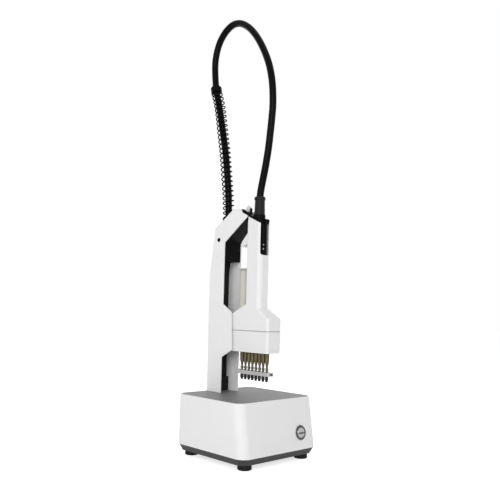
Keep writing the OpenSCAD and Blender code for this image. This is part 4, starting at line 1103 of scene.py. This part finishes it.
@dataclass
class Drive(SubAssembly):
    """The coupling and the idlers inside the gear case."""

    idlers: int = SPINDLES - 1

    def build(self) -> None:
        """Paint the closed-in wheels."""
        self.paint(TURNED_STEEL, "drive_coupling", *[f"idler_{k}" for k in range(1, self.idlers + 1)])


@dataclass
class Stripper(SubAssembly):
    """The bar that strips the caps off, with its guide rods and pin."""

    body: str = Body.STRIPPER.value
    bar_edge: float = 0.4
    rod_edge: float = 0.15
    pin_edge: float = 0.2

    def build(self) -> None:
        """Dress the bar, rods and pin."""
        self.dress("stripper_bar", BLASTED_ALLOY, self.bar_edge)
        self.dress("guide_rods", POLISHED_STEEL, self.rod_edge)
        self.dress("stripper_pin", TRAY_GREY, self.pin_edge)


@dataclass(frozen=True)
class Lamp:
    """A square area lamp that points at the middle of the object."""

    name: str
    place: Point
    size: float
    watts: float
    aim: Point = (0.0, 0.0, 0.3)

    def build(self) -> None:
        """Add the lamp to the scene."""
        data = bpy.data.lights.new(self.name, "AREA")
        data.size = self.size
        data.energy = self.watts
        lamp = bpy.data.objects.new(self.name, data)
        lamp.location = self.place
        way = Vector(self.aim) - Vector(self.place)
        lamp.rotation_euler = way.to_track_quat("-Z", "Y").to_euler()
        bpy.context.scene.collection.objects.link(lamp)


@dataclass
class Studio:
    """White studio: camera, soft lamps, world and floor."""

    place: Vector = Vector((-0.7782, -0.8195, 0.2557))
    right: Vector = Vector((0.7230, -0.6904, 0.0245))
    up: Vector = Vector((-0.0837, -0.0523, 0.9951))
    focal_mm: float = 45.0
    sensor_mm: float = 36.0
    shift: float = -0.00246
    near: float = 0.05
    sky: float = 0.38
    floor_colour: Colour = (0.85, 0.85, 0.85)
    floor_glow: float = 0.68
    floor_side: float = 8.0
    lamps: tuple[Lamp, ...] = (
        Lamp("key", (-1.95, -1.45, 0.95), size=1.5, watts=32.5),
        Lamp("left", (-2.5, 0.35, 0.95), size=1.5, watts=5.0),
        Lamp("front", (0.25, -2.45, 0.95), size=0.7, watts=4.0),
        Lamp("right", (2.45, 0.3, 0.95), size=1.5, watts=22.0),
        Lamp("back", (0.2, 2.5, 0.95), size=1.5, watts=22.0),
        Lamp("top", (0.3, -0.6, 2.3), size=1.5, watts=4.0))

    def camera(self) -> None:
        """Set the camera where the photograph was taken from."""
        data = bpy.data.cameras.new("camera")
        data.lens = self.focal_mm
        data.sensor_width = self.sensor_mm
        data.shift_x = self.shift
        data.clip_start = self.near
        back = self.right.cross(self.up).normalized()
        up = back.cross(self.right).normalized()
        turn = Matrix((self.right.normalized(), up, back)).transposed()
        camera = bpy.data.objects.new("camera", data)
        camera.matrix_world = Matrix.Translation(self.place) @ turn.to_4x4()
        bpy.context.scene.collection.objects.link(camera)
        bpy.context.scene.camera = camera

    @staticmethod
    def seen(tree: bpy.types.NodeTree) -> bpy.types.NodeSocket:
        """Add the test for a ray that shows the surroundings, straight, mirrored or through glass.

        Args:
            tree: Node tree of the world or of a material.

        Returns:
            A socket that is 1 for such a ray.
        """
        rays = tree.nodes.new("ShaderNodeLightPath")
        result = rays.outputs["Is Camera Ray"]
        for kind in ("Is Glossy Ray", "Is Transmission Ray"):
            most = tree.nodes.new("ShaderNodeMath")
            most.operation = "MAXIMUM"
            tree.links.new(result, most.inputs[0])
            tree.links.new(rays.outputs[kind], most.inputs[1])
            result = most.outputs[0]
        return result

    def world(self) -> None:
        """Light the scene with an even sky that shows white behind the object."""
        world = bpy.data.worlds.new("studio")
        world.use_nodes = True
        tree = world.node_tree
        back = tree.nodes["Background"]
        level = tree.nodes.new("ShaderNodeMapRange")
        level.inputs["To Min"].default_value = self.sky
        level.inputs["To Max"].default_value = 1.0
        tree.links.new(self.seen(tree), level.inputs["Value"])
        tree.links.new(level.outputs["Result"], back.inputs["Strength"])
        back.inputs["Color"].default_value = (1.0, 1.0, 1.0, 1.0)
        bpy.context.scene.world = world

    def floor(self) -> None:
        """Lay a pale floor that shows white and keeps the shadow of the object."""
        side = self.floor_side
        mesh = bpy.data.meshes.new("floor")
        square = [(-side, -side, 0), (side, -side, 0), (side, side, 0), (-side, side, 0)]
        mesh.from_pydata(square, [], [(0, 1, 2, 3)])
        floor = new_object("floor", mesh)
        material = bpy.data.materials.new("floor")
        material.use_nodes = True
        tree = material.node_tree
        tree.nodes.clear()
        output = tree.nodes.new("ShaderNodeOutputMaterial")
        matt = tree.nodes.new("ShaderNodeBsdfDiffuse")
        matt.inputs["Color"].default_value = (*self.floor_colour, 1.0)
        glow = tree.nodes.new("ShaderNodeEmission")
        both = tree.nodes.new("ShaderNodeAddShader")
        level = tree.nodes.new("ShaderNodeMath")
        level.operation = "MULTIPLY"
        level.inputs[1].default_value = self.floor_glow
        tree.links.new(self.seen(tree), level.inputs[0])
        tree.links.new(level.outputs[0], glow.inputs["Strength"])
        tree.links.new(matt.outputs[0], both.inputs[0])
        tree.links.new(glow.outputs[0], both.inputs[1])
        tree.links.new(both.outputs[0], output.inputs["Surface"])
        mesh.materials.append(material)

    def build(self) -> None:
        """Set up camera, lamps, world and floor."""
        bpy.context.scene.view_settings.view_transform = "Standard"
        self.camera()
        for lamp in self.lamps:
            lamp.build()
        self.world()
        self.floor()


def sub_assemblies() -> list[SubAssembly]:
    """Return the sub-assemblies, the cable first and then from the bench up."""
    spindles = [Spindle(number=k) for k in range(1, SPINDLES + 1)]
    return [CableRun(), Base(), PowerButton(), Tower(), Handpiece(), Trigger(), TorqueKnob(), *spindles,
            Drive(), Stripper()]


def main() -> None:
    """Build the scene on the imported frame."""
    logging.basicConfig(level=logging.INFO, format="%(name)s: %(message)s")
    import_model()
    Studio().build()
    for group in sub_assemblies():
        group.build()


if __name__ == "__main__":
    main()
